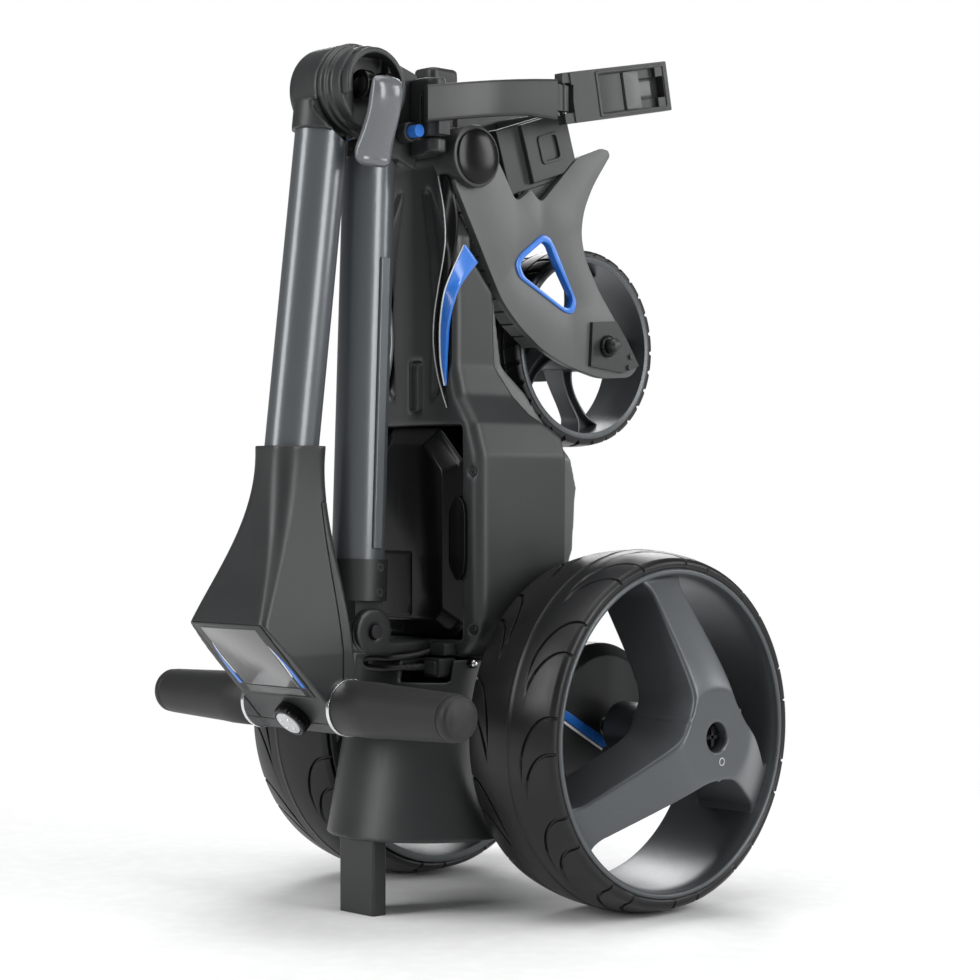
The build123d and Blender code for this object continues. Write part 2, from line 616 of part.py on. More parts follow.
plate -= rod_x(front_axle_r, -80, 80, front_wheel_y, front_wheel_z)
plate += tube_x(fork_boss_r, pivot_pin_r + running_gap, fork_outer_x, fork_outer_x + 8, fork_y, fork_z)
plate += rod_x(fork_boss_r - 2, fork_outer_x + 3, fork_outer_x + 10, fork_y, fork_z)
plate = biggest(plate)


def shrink_outline(points, gap):
    """The same outline pulled towards its middle by a fixed distance."""
    cy = sum(p[0] for p in points) / len(points)
    cz = sum(p[1] for p in points) / len(points)
    out = []
    for y, z in points:
        reach = math.hypot(y - cy, z - cz)
        keep = (reach - gap) / reach
        out.append((cy + (y - cy) * keep, cz + (z - cz) * keep))
    return out


trim = side_prism(window_edge, fork_inner_x, fork_outer_x + 1.2)
trim -= side_prism(shrink_outline(window_edge, 5), 0, 60)
trim -= plate
trim = biggest(trim)
save("fork_plate_right", plate)
save("fork_plate_left", mirrored(plate))
save("window_trims", *both_sides(trim))

# socket that holds the foot of the golf bag; it also ties the two plates together
box_wall = 4.0
box_long, box_low, box_top = 36.0, -24.0, 26.0
at_box = Pos(0, -12, 561) * Rot(18, 0, 0)
bag_box = block(-fork_inner_x, fork_inner_x, -box_long, box_long, box_low, box_top)
bag_box -= block(-fork_inner_x + box_wall, fork_inner_x - box_wall, -box_long + box_wall,
                 box_long - box_wall, box_low + 2 * box_wall, box_top + 10)
bag_box = at_box * bag_box
bag_box -= rod_x(fork_boss_r + 7, -far, far, fork_y, fork_z)
box_cheek = at_box * block(fork_inner_x, fork_outer_x - 1, -14, box_long - 1, box_low + 4, box_top - 1)
box_mark = at_box * block(fork_outer_x - 2, fork_outer_x, 0, 20, -8, 12)
box_cheek -= box_mark
box_cheek -= plate
bag_box += box_cheek + mirrored(box_cheek)
bag_box -= plate
bag_box -= mirrored(plate)
save("bag_box", biggest(bag_box))

front_axle = rod_x(front_axle_r, -44, 44, front_wheel_y, front_wheel_z)
save("front_axle", front_axle)

adjuster = side_prism([(38, 402), (74, 398), (92, 404), (78, 424), (66, 438), (40, 436)],
                      fork_outer_x, fork_outer_x + 3)
adjuster -= rod_x(front_axle_r, 0, 80, front_wheel_y, front_wheel_z)
for y, z in ((82, 411), (80, 402.5)):
    adjuster += rod_x(2.2, fork_outer_x + 3, fork_outer_x + 4.6, y, z)
save("adjuster_plate", adjuster)
knob = rod_x(11, fork_outer_x + 3.2, fork_outer_x + 11, front_wheel_y, front_wheel_z)
knob += rod_x(7.5, fork_outer_x + 11, fork_outer_x + 16, front_wheel_y, front_wheel_z)
knob = fillet(knob.edges().filter_by(GeomType.CIRCLE).filter_by(
    lambda e: e.center().X > fork_outer_x + 15), 3)
for i in range(12):
    groove = Pos(fork_outer_x + 7, 0, 11.6) * Rot(0, 90, 0) * Cylinder(1.4, 7.6)
    knob -= Pos(0, front_wheel_y, front_wheel_z) * Rot(30 * i, 0, 0) * groove
knob -= rod_x(front_axle_r + running_gap, 0, 44 + running_gap, front_wheel_y, front_wheel_z)
save("tracking_knob", biggest(knob))

rim = turned([(-front_half, 66), (-front_half, front_rim_r), (front_half, front_rim_r),
              (front_half, 66), (5, 66), (5, 20), (30, 17), (30, front_axle_r + running_gap),
              (-30, front_axle_r + running_gap), (-30, 17), (-5, 20), (-5, 66)],
             front_wheel_y, front_wheel_z)
front_spokes = 5
ring = Circle(60) - Circle(28)
wedge = make_face(Polyline((0, 0), (120, 52), (120, -52), close=True))
for i in range(front_spokes):
    hole = Rot(0, 0, 360 / front_spokes * i + 20) * (ring & wedge)
    rim -= Pos(0, front_wheel_y, front_wheel_z) * along_x(hole, -8, 8)
save("front_rim", biggest(rim))
front_tyre = turned([(-front_half, front_rim_r), (-front_half, front_tyre_r - 3),
                     (-front_half + 6, front_tyre_r), (front_half - 6, front_tyre_r),
                     (front_half, front_tyre_r - 3), (front_half, front_rim_r)],
                    front_wheel_y, front_wheel_z)
save("front_tyre", front_tyre)


# ---- upper shaft ----
upper_frame = facing(upper_y_top, upper_z_top, 180 + upper_lean)
upper_start, upper_long = -30.0, 258.0     # along the shaft from the top of the sleeve
tube_stock = extrude(oval, upper_long) - extrude(oval_bore, upper_long)
upper_tube = upper_frame * Pos(0, 0, upper_start) * tube_stock
disc_room = rod_x(40, face_x - 0.1, 60, top_y, top_z)     # clear of the other hinge half
upper_tube = biggest(upper_tube - disc_room)
save("upper_tube", upper_tube)

elbow = rod_x(disc_r, -26, face_x - 0.1, top_y, top_z)
elbow = fillet(elbow.edges().filter_by(GeomType.CIRCLE).filter_by(
    lambda e: e.center().X < 0), 8)
sleeve = upper_frame * Pos(0, 0, -38) * extrude(Ellipse(tube_a + 3, tube_b + 2.5), 22)
sleeve_side = [(-222, 520), (-222, 626), (-172, 628), (-168, 585), (-168, 520)]
elbow += sleeve & side_prism(sleeve_side, -60, 60)
elbow -= disc_room
elbow -= upper_tube
elbow -= rod_x(bolt_r + running_gap, -30, 40, top_y, top_z)
save("hinge_elbow", biggest(elbow))

# handle head: a flared shell cut by the slanting screen panel
head_wall = 3.0
sections = [(338, 21, -243, -198, 14), (300, 22.3, -247.3, -199, 13.5), (258, 31, -260, -199, 9),
            (214, 42.5, -279, -199, 5), (136, 45, -284, -200, 5)]


def head_section(z, half, front, back, corner, wall=0.0):
    """A rounded rectangle across the head, pulled in by a wall thickness."""
    face = Rectangle(2 * (half - wall), back - front - 2 * wall)
    face = fillet(face.vertices(), corner - wall)
    return Pos(0, (front + back) / 2, z) * face


head = loft([head_section(*s) for s in sections])
hollow_head = loft([head_section(*s, wall=head_wall) for s in sections])
panel_frame = facing(-253, 187.5, 180 + screen_tilt)
panel_depth = 3.0
floor_z, hollow_top = 137.0, 318.0
panel_web = 8.0            # solid left behind the screen panel
below = panel_frame * block(-far, far, -120, 120, 0, 120)
head -= below
head -= block(-far, far, -300, -150, 100, floor_z)
hollow_head -= panel_frame * block(-far, far, -120, 120, -panel_web, 120)
hollow_head -= block(-far, far, -300, -150, 100, floor_z + head_wall)
hollow_head -= block(-far, far, -300, -150, hollow_top, 360)
shell = head - hollow_head
panel_half, panel_low, panel_high = 39.0, -34.0, 37.0
panel_pocket = panel_frame * block(-panel_half, panel_half, panel_low, panel_high, -panel_depth, 1)
board_pocket = panel_frame * block(-panel_half + 3, panel_half - 3, panel_low + 4, panel_high - 4, -9, 1)
shell -= panel_pocket
shell -= board_pocket
bar_r = 11.0
ring_x = 46.5
barrel_out_r = 19.8
grip_outer_x = 164.0
shell += rod_x(barrel_out_r, -ring_x, ring_x, bar_y, bar_z) - below
shell -= rod_x(bar_r, -200, 200, bar_y, bar_z)
shell -= upper_tube
shell &= block(-ring_x, ring_x, -300, -150, 100, 400)
dial_drop = -54.0
dial_place = panel_frame * Pos(0, dial_drop, 0)
stem_r = 4.0
stem_deep = 5.0
stem_room = dial_place * Pos(0, 0, -stem_deep / 2) * Cylinder(stem_r + running_gap, stem_deep + 0.4)
shell -= stem_room
seam_y, seam_top = -210.0, 298.0
back_zone = block(-far, far, seam_y, -150, 100, seam_top)
save("handle_shell", biggest(shell - back_zone))
save("handle_back", biggest(shell & back_zone))
panel = block(-panel_half, panel_half, panel_low, panel_high, -panel_depth, 0)
save("screen_panel", panel_frame * panel)
board = block(-panel_half + 5, panel_half - 5, panel_low + 6, panel_high - 6, -6.6, -5)
save("display_board", panel_frame * board)

handle_bar = rod_x(bar_r, -grip_outer_x + 6, grip_outer_x - 6, bar_y, bar_z)
handle_bar -= rod_x(bar_r - 2, -grip_outer_x, grip_outer_x, bar_y, bar_z)
handle_bar -= dial_place * Pos(0, 0, -4) * Cylinder(stem_r + 1, 14)
save("handle_bar", biggest(handle_bar))
grip = turned([(ring_x + 3, 0), (ring_x + 3, 19.4), (ring_x + 30, 19.2), (grip_outer_x - 3, 16.2),
               (grip_outer_x, 14.2), (grip_outer_x, 0)], bar_y, bar_z)
grip -= rod_x(bar_r, 0, grip_outer_x - 6, bar_y, bar_z)
save("handle_grips", *both_sides(grip))
save("grip_rings", *both_sides(tube_x(barrel_out_r + 0.4, bar_r, ring_x, ring_x + 3, bar_y, bar_z)))

# speed dial: a knurled cup on a stem, with a cap that pushes in
dial_r, dial_high = 13.5, 9.0
cap_r, cap_low, cap_high, cap_travel = 10.0, 5.0, 10.0, 1.5
dial = Pos(0, 0, (0.3 + dial_high) / 2) * Cylinder(dial_r, dial_high - 0.3)
dial = fillet(dial.edges().filter_by(GeomType.CIRCLE).sort_by(Axis.Z)[-1], 1.5)
cap_low_stop = cap_low - cap_travel - 0.2
dial -= Pos(0, 0, 10 + cap_low_stop) * Cylinder(cap_r + running_gap, 20)
for i in range(20):
    dial -= Rot(0, 0, 18 * i) * Pos(dial_r + 0.5, 0, 5.5) * Cylinder(1.0, 5)
dial += Pos(0, 0, (0.4 - stem_deep) / 2) * Cylinder(stem_r, stem_deep + 0.2)
save("dial_knob", biggest(dial_place * dial))
save("dial_cap", dial_place * Pos(0, 0, (cap_low + cap_high) / 2) * Cylinder(cap_r, cap_high - cap_low))
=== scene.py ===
import json
import math

import bmesh
import bpy
from mathutils import Matrix, Vector


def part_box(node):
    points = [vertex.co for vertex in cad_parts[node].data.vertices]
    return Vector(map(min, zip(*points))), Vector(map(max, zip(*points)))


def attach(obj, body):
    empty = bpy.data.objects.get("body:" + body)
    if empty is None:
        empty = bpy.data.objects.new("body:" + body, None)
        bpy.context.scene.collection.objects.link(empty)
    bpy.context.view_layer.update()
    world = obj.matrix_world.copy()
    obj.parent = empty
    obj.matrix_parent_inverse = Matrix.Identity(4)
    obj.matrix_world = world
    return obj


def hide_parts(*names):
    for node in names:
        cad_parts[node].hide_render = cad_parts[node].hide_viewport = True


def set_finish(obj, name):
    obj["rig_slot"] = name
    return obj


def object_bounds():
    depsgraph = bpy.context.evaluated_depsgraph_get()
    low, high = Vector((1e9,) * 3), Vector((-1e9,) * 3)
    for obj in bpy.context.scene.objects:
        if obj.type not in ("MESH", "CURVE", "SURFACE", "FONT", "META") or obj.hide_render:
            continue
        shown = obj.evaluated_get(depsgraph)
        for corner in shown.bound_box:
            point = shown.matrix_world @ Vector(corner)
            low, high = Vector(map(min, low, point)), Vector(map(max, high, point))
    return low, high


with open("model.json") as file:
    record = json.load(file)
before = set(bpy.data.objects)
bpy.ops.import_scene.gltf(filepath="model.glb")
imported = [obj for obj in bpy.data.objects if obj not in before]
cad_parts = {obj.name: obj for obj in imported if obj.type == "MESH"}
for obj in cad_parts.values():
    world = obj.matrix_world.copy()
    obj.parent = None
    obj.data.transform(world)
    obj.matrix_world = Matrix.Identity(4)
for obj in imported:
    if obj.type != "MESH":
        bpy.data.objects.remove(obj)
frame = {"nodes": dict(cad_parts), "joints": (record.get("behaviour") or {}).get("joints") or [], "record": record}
cad_low, cad_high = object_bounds()
joints = {j["name"]: j for j in frame["joints"]}
MM = 0.001


def anchor(name):
    """The point a joint turns about, in metres."""
    return Vector(joints[name]["pos_m"])


axle = anchor("axle_drive")
ROW_SHIFT = axle.y / MM


def at(x, y, z):
    """A point given in millimetres about the rear axle's floor line."""
    return Vector((x * MM, (y + ROW_SHIFT) * MM, z * MM))


def joint_mm(name):
    """A joint's point in millimetres, as at() takes it."""
    spot = anchor(name)
    return spot.x / MM, spot.y / MM - ROW_SHIFT, spot.z / MM


def along_y(y, x, z):
    """Places an outline given in (x, z) at a depth y."""
    return at(x, y, z)


# ---------------------------------------------------------------- materials

def node(tree, kind, **inputs):
    """Adds a shader node and sets its named inputs."""
    made = tree.nodes.new(kind)
    for key, value in inputs.items():
        made.inputs[key.replace("_", " ")].default_value = value
    return made


def noise_of(tree, coords, scale, detail, stretch=None):
    """Noise over the object's own coordinates, optionally drawn out along an axis."""
    source = coords.outputs["Object"]
    if stretch:
        mapping = tree.nodes.new("ShaderNodeMapping")
        mapping.inputs["Scale"].default_value = stretch
        tree.links.new(source, mapping.inputs["Vector"])
        source = mapping.outputs["Vector"]
    made = node(tree, "ShaderNodeTexNoise", Scale=scale, Detail=detail)
    tree.links.new(source, made.inputs["Vector"])
    return made.outputs["Fac"]


def remap(tree, value, low, high, start, end):
    """Stretches a value between start and end to the range low to high."""
    made = tree.nodes.new("ShaderNodeMapRange")
    made.inputs["From Min"].default_value = start
    made.inputs["From Max"].default_value = end
    made.inputs["To Min"].default_value = low
    made.inputs["To Max"].default_value = high
    tree.links.new(value, made.inputs["Value"])
    return made.outputs["Result"]


def mix_colour(tree, factor, a, b):
    """Blends two colours (or links) by a factor link."""
    made = tree.nodes.new("ShaderNodeMix")
    made.data_type = "RGBA"
    tree.links.new(factor, made.inputs[0])
    for socket, value in ((6, a), (7, b)):
        if isinstance(value, tuple):
            made.inputs[socket].default_value = (*value, 1.0)
        else:
            tree.links.new(value, made.inputs[socket])
    return made.outputs[2]


def shade(colour, factor):
    """A colour made darker or lighter, kept between black and white."""
    return tuple(min(1.0, max(0.0, c * factor)) for c in colour)


BROAD_SCALE, HAIR_SCALE = 22.0, 260.0
HAIR_STRETCH = (1.0, 1.0, 0.06)
SPECK_LIGHT = 1.35
RUBBED_GREY, RUBBED_SHARE = 0.45, 0.25
SMOOTHEST = 0.03
COAT_ROUGH = 0.12
ROUND_EDGE = 0.6 * MM
GRAIN_HEIGHT = 0.2 * MM


def finish(name, colour, rough, metal=0.0, grain=1400.0, bump=0.06, mottle=0.10,
           wear=0.06, coat=0.0, stretch=None, sheen=0.0, shine=0.5, vary=0.04):
    """A worked surface: tone variation, fine grain, hairline scratches and rubbed, rounded edges."""
    material = bpy.data.materials.new(name)
    material.use_nodes = True
    tree = material.node_tree
    shader = tree.nodes["Principled BSDF"]
    coords = tree.nodes.new("ShaderNodeTexCoord")
    broad = noise_of(tree, coords, BROAD_SCALE, 5.0)
    fine = noise_of(tree, coords, grain, 3.0, stretch)
    hair = noise_of(tree, coords, HAIR_SCALE, 2.0, HAIR_STRETCH)

    patches = remap(tree, broad, 0.0, 1.0, 0.2, 0.8)
    tone = mix_colour(tree, patches, shade(colour, 1 - mottle), shade(colour, 1 + mottle))
    specks = remap(tree, fine, 0.0, 0.5, 0.45, 0.75)
    speckled = mix_colour(tree, specks, tone, shade(colour, SPECK_LIGHT))
    geometry = tree.nodes.new("ShaderNodeNewGeometry")
    edges = remap(tree, geometry.outputs["Pointiness"], 0.0, wear, 0.53, 0.64)
    rubbed = mix_colour(tree, edges, speckled, tuple(c + (RUBBED_GREY - c) * RUBBED_SHARE for c in colour))
    tree.links.new(rubbed, shader.inputs["Base Color"])

    worn = remap(tree, broad, max(SMOOTHEST, rough - vary), rough + vary, 0.2, 0.8)
    scratched = remap(tree, hair, 0.0, vary, 0.45, 0.85)
    rough_map = tree.nodes.new("ShaderNodeMath")
    rough_map.operation = "ADD"
    tree.links.new(worn, rough_map.inputs[0])
    tree.links.new(scratched, rough_map.inputs[1])
    tree.links.new(rough_map.outputs[0], shader.inputs["Roughness"])

    shader.inputs["Metallic"].default_value = metal
    shader.inputs["Specular IOR Level"].default_value = shine
    shader.inputs["Coat Weight"].default_value = coat
    shader.inputs["Coat Roughness"].default_value = COAT_ROUGH
    shader.inputs["Sheen Weight"].default_value = sheen

    rounding = node(tree, "ShaderNodeBevel", Radius=ROUND_EDGE)
    rounding.samples = 4
    relief = node(tree, "ShaderNodeBump", Strength=bump, Distance=GRAIN_HEIGHT)
    tree.links.new(fine, relief.inputs["Height"])
    tree.links.new(rounding.outputs["Normal"], relief.inputs["Normal"])
    tree.links.new(relief.outputs["Normal"], shader.inputs["Normal"])
    return material


FINISHES = {
    "graphite_paint": dict(colour=(0.098, 0.108, 0.116), rough=0.30, metal=0.40, grain=2600.0, bump=0.02,
                           mottle=0.03, wear=0.0, coat=0.35, vary=0.015),
    "charcoal_plastic": dict(colour=(0.017, 0.018, 0.0185), rough=0.40, bump=0.07),
    "satin_grey_plastic": dict(colour=(0.080, 0.083, 0.083), rough=0.38, bump=0.07, wear=0.0),
    "gloss_black": dict(colour=(0.0032, 0.0032, 0.0035), rough=0.20, bump=0.01, wear=0.0, shine=0.22),
    "tyre_rubber": dict(colour=(0.0055, 0.0055, 0.0060), rough=0.36, bump=0.06, mottle=0.18, shine=0.35),
    "grip_rubber": dict(colour=(0.011, 0.011, 0.0115), rough=0.50, bump=0.22, grain=1100.0, sheen=0.03,
                        shine=0.35),
    "rim_graphite": dict(colour=(0.088, 0.096, 0.100), rough=0.36, metal=0.45, bump=0.03, mottle=0.04,
                         wear=0.0),
    "accent_blue": dict(colour=(0.020, 0.150, 0.560), rough=0.28, bump=0.03, coat=0.4),
    "accent_white": dict(colour=(0.78, 0.80, 0.82), rough=0.30, bump=0.03, coat=0.4),
    "bright_metal": dict(colour=(0.72, 0.73, 0.74), rough=0.16, metal=1.0, bump=0.02, mottle=0.04),
    "steel": dict(colour=(0.42, 0.42, 0.43), rough=0.32, metal=1.0, bump=0.06, stretch=(0.08, 1.0, 1.0)),
    "dark_steel": dict(colour=(0.07, 0.07, 0.074), rough=0.34, metal=0.9, bump=0.05),
    "lever_grey": dict(colour=(0.105, 0.112, 0.120), rough=0.24, bump=0.01, mottle=0.03, wear=0.0, coat=0.5,
                       vary=0.01),
    "silver_plastic": dict(colour=(0.52, 0.53, 0.54), rough=0.30, metal=0.3, bump=0.04),
    "screen_grey": dict(colour=(0.115, 0.115, 0.118), rough=0.30, bump=0.01, coat=0.6, wear=0.0),
    "board_green": dict(colour=(0.02, 0.11, 0.05), rough=0.42, bump=0.10),
    "motor_alloy": dict(colour=(0.35, 0.36, 0.37), rough=0.38, metal=0.9, bump=0.08),
    "gear_brass": dict(colour=(0.60, 0.42, 0.16), rough=0.30, metal=1.0, bump=0.05),
}
paints = {name: finish(name, **look) for name, look in FINISHES.items()}

SLOT_OF_PAINT = {"accent_white": "silver_plastic", "dark_steel": "steel"}
DARK_STEEL_NODES = ("base_hinge_pin", "socket_screws", "chassis_screws")
slot_of_node = {part["node"]: part["material_slot"] for part in frame["record"]["subparts"]}

for name, item in frame["nodes"].items():
    paint = "dark_steel" if name in DARK_STEEL_NODES else slot_of_node[name]
    item.data.materials.clear()
    item.data.materials.append(paints[paint])

# ---------------------------------------------------------------- mesh helpers

def place_on(made, body, slot, stands_for):
    """Links a new piece to the scene, its body and its material slot."""
    bpy.context.scene.collection.objects.link(made)
    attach(made, body)
    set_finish(made, slot)
    if stands_for:
        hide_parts(*stands_for)


def add(name, shape, paint, body, stands_for=(), sharp=40.0):
    """A new piece from (vertices, faces) in metres, finished, riding on a body."""
    verts, faces = shape
    mesh = bpy.data.meshes.new(name)
    mesh.from_pydata([tuple(v) for v in verts], [], faces)
    work = bmesh.new()
    work.from_mesh(mesh)
    bmesh.ops.remove_doubles(work, verts=work.verts, dist=1e-6)
    bmesh.ops.recalc_face_normals(work, faces=work.faces)
    work.to_mesh(mesh)
    work.free()
    mesh.polygons.foreach_set("use_smooth", [True] * len(mesh.polygons))
    mesh.set_sharp_from_angle(angle=math.radians(sharp))
    mesh.materials.append(paints[paint])
    made = bpy.data.objects.new(name, mesh)
    place_on(made, body, SLOT_OF_PAINT.get(paint, paint), stands_for)
    return made


def pair(name, shape, paint, body, stands_for=(), sharp=40.0):
    """A piece on the right and its mirror image on the left; * in a name stands for the side."""
    sides = {}
    for side in ("right", "left"):
        sides[side] = body.replace("*", side), [node_name.replace("*", side) for node_name in stands_for]
    right = add(name + "_right", shape, paint, *sides["right"], sharp)
    mesh = right.data.copy()
    mesh.transform(Matrix.Scale(-1, 4, (1, 0, 0)))
    mesh.flip_normals()
    left = bpy.data.objects.new(name + "_left", mesh)
    left_body, left_nodes = sides["left"]
    place_on(left, left_body, right["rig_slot"], left_nodes)
    return right, left


def grid(rows, cols, wrap_rows=False, wrap_cols=False):
    """Quads of a grid whose vertices run row by row."""
    faces = []
    for i in range(rows if wrap_rows else rows - 1):
        for j in range(cols if wrap_cols else cols - 1):
            a, b = i * cols, ((i + 1) % rows) * cols
            k = (j + 1) % cols
            faces.append((a + j, a + k, b + k, b + j))
    return faces


def loft(rings):
    """A closed skin over rings of equal length."""
    rows, cols = len(rings), len(rings[0])
    faces = grid(rows, cols, False, True)
    faces.append(tuple(range(cols)))
    faces.append(tuple((rows - 1) * cols + j for j in reversed(range(cols))))
    return [p for ring in rings for p in ring], faces


def lathe(profile, centre, steps):
    """A closed profile of (x, radius) in millimetres, turned about a line along X."""
    verts = []
    for i in range(steps):
        turn = 2 * math.pi * i / steps
        for x, r in profile:
            spot = (x * MM, centre.y + r * MM * math.cos(turn), centre.z + r * MM * math.sin(turn))
            verts.append(spot)
    return verts, grid(steps, len(profile), True, True)


def join(*shapes):
    """Several (vertices, faces) pairs as one."""
    verts, faces = [], []
    for more_verts, more_faces in shapes:
        start = len(verts)
        verts.extend(more_verts)
        faces.extend(tuple(start + i for i in face) for face in more_faces)
    return verts, faces


def circle(u, v, r, steps=48, start=0.0, end=360.0):
    """Points round a circle or along an arc of it, in degrees."""
    full = end - start >= 360.0
    count = steps if full else steps - 1
    turns = [math.radians(start + (end - start) * i / count) for i in range(steps)]
    return [(u + r * math.cos(a), v + r * math.sin(a)) for a in turns]


def rectangle(u0, u1, v0, v1):
    """The four corners between two pairs of limits."""
    return [(u0, v0), (u1, v0), (u1, v1), (u0, v1)]


def rounded(points, radius, steps=5):
    """A closed outline with every corner rounded by up to a radius."""
    out = []
    count = len(points)
    for i, here in enumerate(points):
        here = Vector(here)
        before, after = Vector(points[i - 1]), Vector(points[(i + 1) % count])
        a, b = (before - here), (after - here)
        reach = min(radius, 0.45 * a.length, 0.45 * b.length)
        start, end = here + a.normalized() * reach, here + b.normalized() * reach
        for k in range(steps + 1):
            t = k / steps
            out.append(tuple(start * (1 - t) ** 2 + here * 2 * t * (1 - t) + end * t ** 2))
    return out


def inset(points, gap):
    """A convex outline pulled towards its middle."""
    cu = sum(p[0] for p in points) / len(points)
    cv = sum(p[1] for p in points) / len(points)
    made = []
    for u, v in points:
        far = math.hypot(u - cu, v - cv)
        made.append((cu + (u - cu) * (far - gap) / far, cv + (v - cv) * (far - gap) / far))
    return made


def blend(p0, p1, p2, p3, f):
    """A value between p1 and p2 on the smooth curve through four values."""
    return 0.5 * (2 * p1 + (p2 - p0) * f + (2 * p0 - 5 * p1 + 4 * p2 - p3) * f * f
                  + (3 * p1 - p0 - 3 * p2 + p3) * f ** 3)


def spline(points, count):
    """Points along a smooth curve through a run of points with any number of values each."""
    made = []
    spans = len(points) - 1
    for i in range(count + 1):
        t = i / count * spans
        k = min(int(t), spans - 1)
        near = points[max(k - 1, 0)], points[k], points[k + 1], points[min(k + 2, spans)]
        made.append(Vector([blend(*values, t - k) for values in zip(*near)]))
    return made


def slab(outline, low, high, place, edge=0.4, corner=0.0):
    """A thin plate over an outline, with its upper edge eased, set in place by a function."""
    if corner:
        outline = rounded(outline, corner)

    def ring(gap, z):
        return [place(x, y, z) for x, y in inset(outline, gap)]

    return loft([ring(0, low), ring(0, high - edge), ring(0.3 * edge, high - 0.3 * edge), ring(edge, high)])


def disc(radius, low, high, place, dome=0.0, steps=64, ease=0.5, x=0.0, y=0.0):
    """A round button with an eased, slightly domed face."""
    rings = []
    for r, z in ((radius, low), (radius, high - ease), (radius - 0.3 * ease, high - 0.3 * ease),
                 (radius - ease, high), (0.6 * radius, high + 0.7 * dome), (0.25 * radius, high + dome)):
        rings.append([place(u, v, z) for u, v in circle(x, y, r, steps)])
    return loft(rings)


def rod(r, x0, x1, y, z, ease=0.6, dome=0.0, steps=64):
    """A round boss along X with an eased, domed end."""
    def place(u, v, x):
        return at(x, y + u, z + v)
    return disc(r, x0, x1, place, dome, steps, ease)


def post(r, x, y, z0, z1, ease=0.8, steps=40):
    """An upright round post."""
    levels = ((r - ease, z0), (r, z0 + ease), (r, z1 - ease), (r - ease, z1))
    return loft([[at(u, v, z) for u, v in circle(x, y, radius, steps)] for radius, z in levels])


RIM_ANGLE = math.radians(70)


def plate(loops, x0, x1, ease, place=at, segments=2):
    """A flat part over a closed outline with holes, in (y, z), between two x planes, with eased edges."""
    work = bmesh.new()
    flat = []
    for loop in loops:
        dots = [work.verts.new(place(x0, y, z)) for y, z in loop]
        flat += [work.edges.new((dots[i - 1], dots[i])) for i in range(len(dots))]
    bmesh.ops.triangle_fill(work, use_beauty=True, use_dissolve=False, edges=flat)
    grown = bmesh.ops.extrude_face_region(work, geom=list(work.faces))
    lift = place(x1, 0, 0) - place(x0, 0, 0)
    bmesh.ops.translate(work, vec=lift, verts=[g for g in grown["geom"] if isinstance(g, bmesh.types.BMVert)])
    bmesh.ops.recalc_face_normals(work, faces=work.faces)
    rim = [e for e in work.edges if len(e.link_faces) == 2 and e.calc_face_angle(0) > RIM_ANGLE
           and abs((e.verts[0].co - e.verts[1].co).dot(lift)) < 1e-12]
    bmesh.ops.bevel(work, geom=rim, offset=ease * MM, segments=segments, profile=0.6, affect="EDGES",
                    clamp_overlap=True)
    work.verts.index_update()
    verts = [v.co.copy() for v in work.verts]
    faces = [tuple(v.index for v in f.verts) for f in work.faces]
    work.free()
    return verts, faces


def mould(item, cell, passes):
    """Blends a part's edges and corners as a moulding has them; its own vertices stay as they are."""
    skin = item.modifiers.new("skin", "REMESH")
    skin.mode = "VOXEL"
    skin.voxel_size = cell * MM
    skin.use_smooth_shade = True
    calm = item.modifiers.new("calm", "SMOOTH")
    calm.factor = 0.5
    calm.iterations = passes


# ---------------------------------------------------------------- rear tyres

tyre_low, tyre_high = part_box("rear_tyre_right")
inner_x, outer_x = tyre_low.x, tyre_high.x
crown_r = (tyre_high.z - tyre_low.z) / 2
seat_r = crown_r - 13.6 * MM
crown_x = 128.5 * MM
OUTER_DROP, INNER_DROP = 6.6 * MM, 7.6 * MM
SHOULDER_CURVE = 2.2
RIDGE_HALF, RIDGE_HEIGHT, RIDGE_ROOM = 0.8 * MM, 0.5 * MM, 1.4 * MM
GROOVE_PAIRS = 11
GROOVE_PHASE = math.radians(106.0)
GROOVE_DEPTH, GROOVE_HALF = 1.9 * MM, 1.1 * MM
GROOVE_LAGS = (math.radians(0.0), math.radians(11.5))
GROOVE_ENDS = (0.90, 0.74)
GROOVE_FADE = 0.14
GROOVE_SWEEP = math.radians(24.0)
GROOVE_START, GROOVE_REACH = 2.6 * MM, 25.5 * MM
GROOVE_STEPS = 26
GROOVE_WALL = ((-1.25, 0), (-0.7, 1), (0.7, 1), (1.25, 0))
STEEPEST = 0.15
INNER_LAG = math.radians(-11.0)
LAND_ROWS = (4, 9)


def tyre_radius(x):
    """The crowned tread, a soft arch from each edge up to the crown."""
    edge_x, drop = (outer_x, OUTER_DROP) if x > crown_x else (inner_x, INNER_DROP)
    t = (crown_x - x) / (crown_x - edge_x)
    return crown_r - drop * t ** SHOULDER_CURVE


def half_columns(edge_x, inward, lag):
    """Columns from the rim seat to a groove's inner end: (x, radius, shift, half width, depth shares)."""
    columns = []
    for step_in, r, share in ((2.2 * MM, seat_r + 0.1 * MM, 0), (0.5 * MM, seat_r + 1.6 * MM, 0),
                              (0.0, seat_r + 4.2 * MM, 1), (0.9 * MM, tyre_radius(edge_x) - 1.1 * MM, 1)):
        columns.append((edge_x + inward * step_in, r, lag, GROOVE_HALF, (share, share)))
    for k in range(GROOVE_STEPS + 1):
        u = k / GROOVE_STEPS
        turn = u * math.pi / 2
        x = edge_x + inward * (GROOVE_START + GROOVE_REACH * math.sin(turn))
        run_x, run_round = GROOVE_REACH * math.cos(turn), crown_r * GROOVE_SWEEP * math.sin(turn)
        slant = max(STEEPEST, run_x / math.hypot(run_x, run_round))
        shares = tuple(min(1.0, max(0.0, (end - u) / GROOVE_FADE)) for end in GROOVE_ENDS)
        shift = lag + GROOVE_SWEEP * (1 - math.cos(turn))
        columns.append((x, tyre_radius(x), shift, GROOVE_HALF / slant, shares))
    return columns


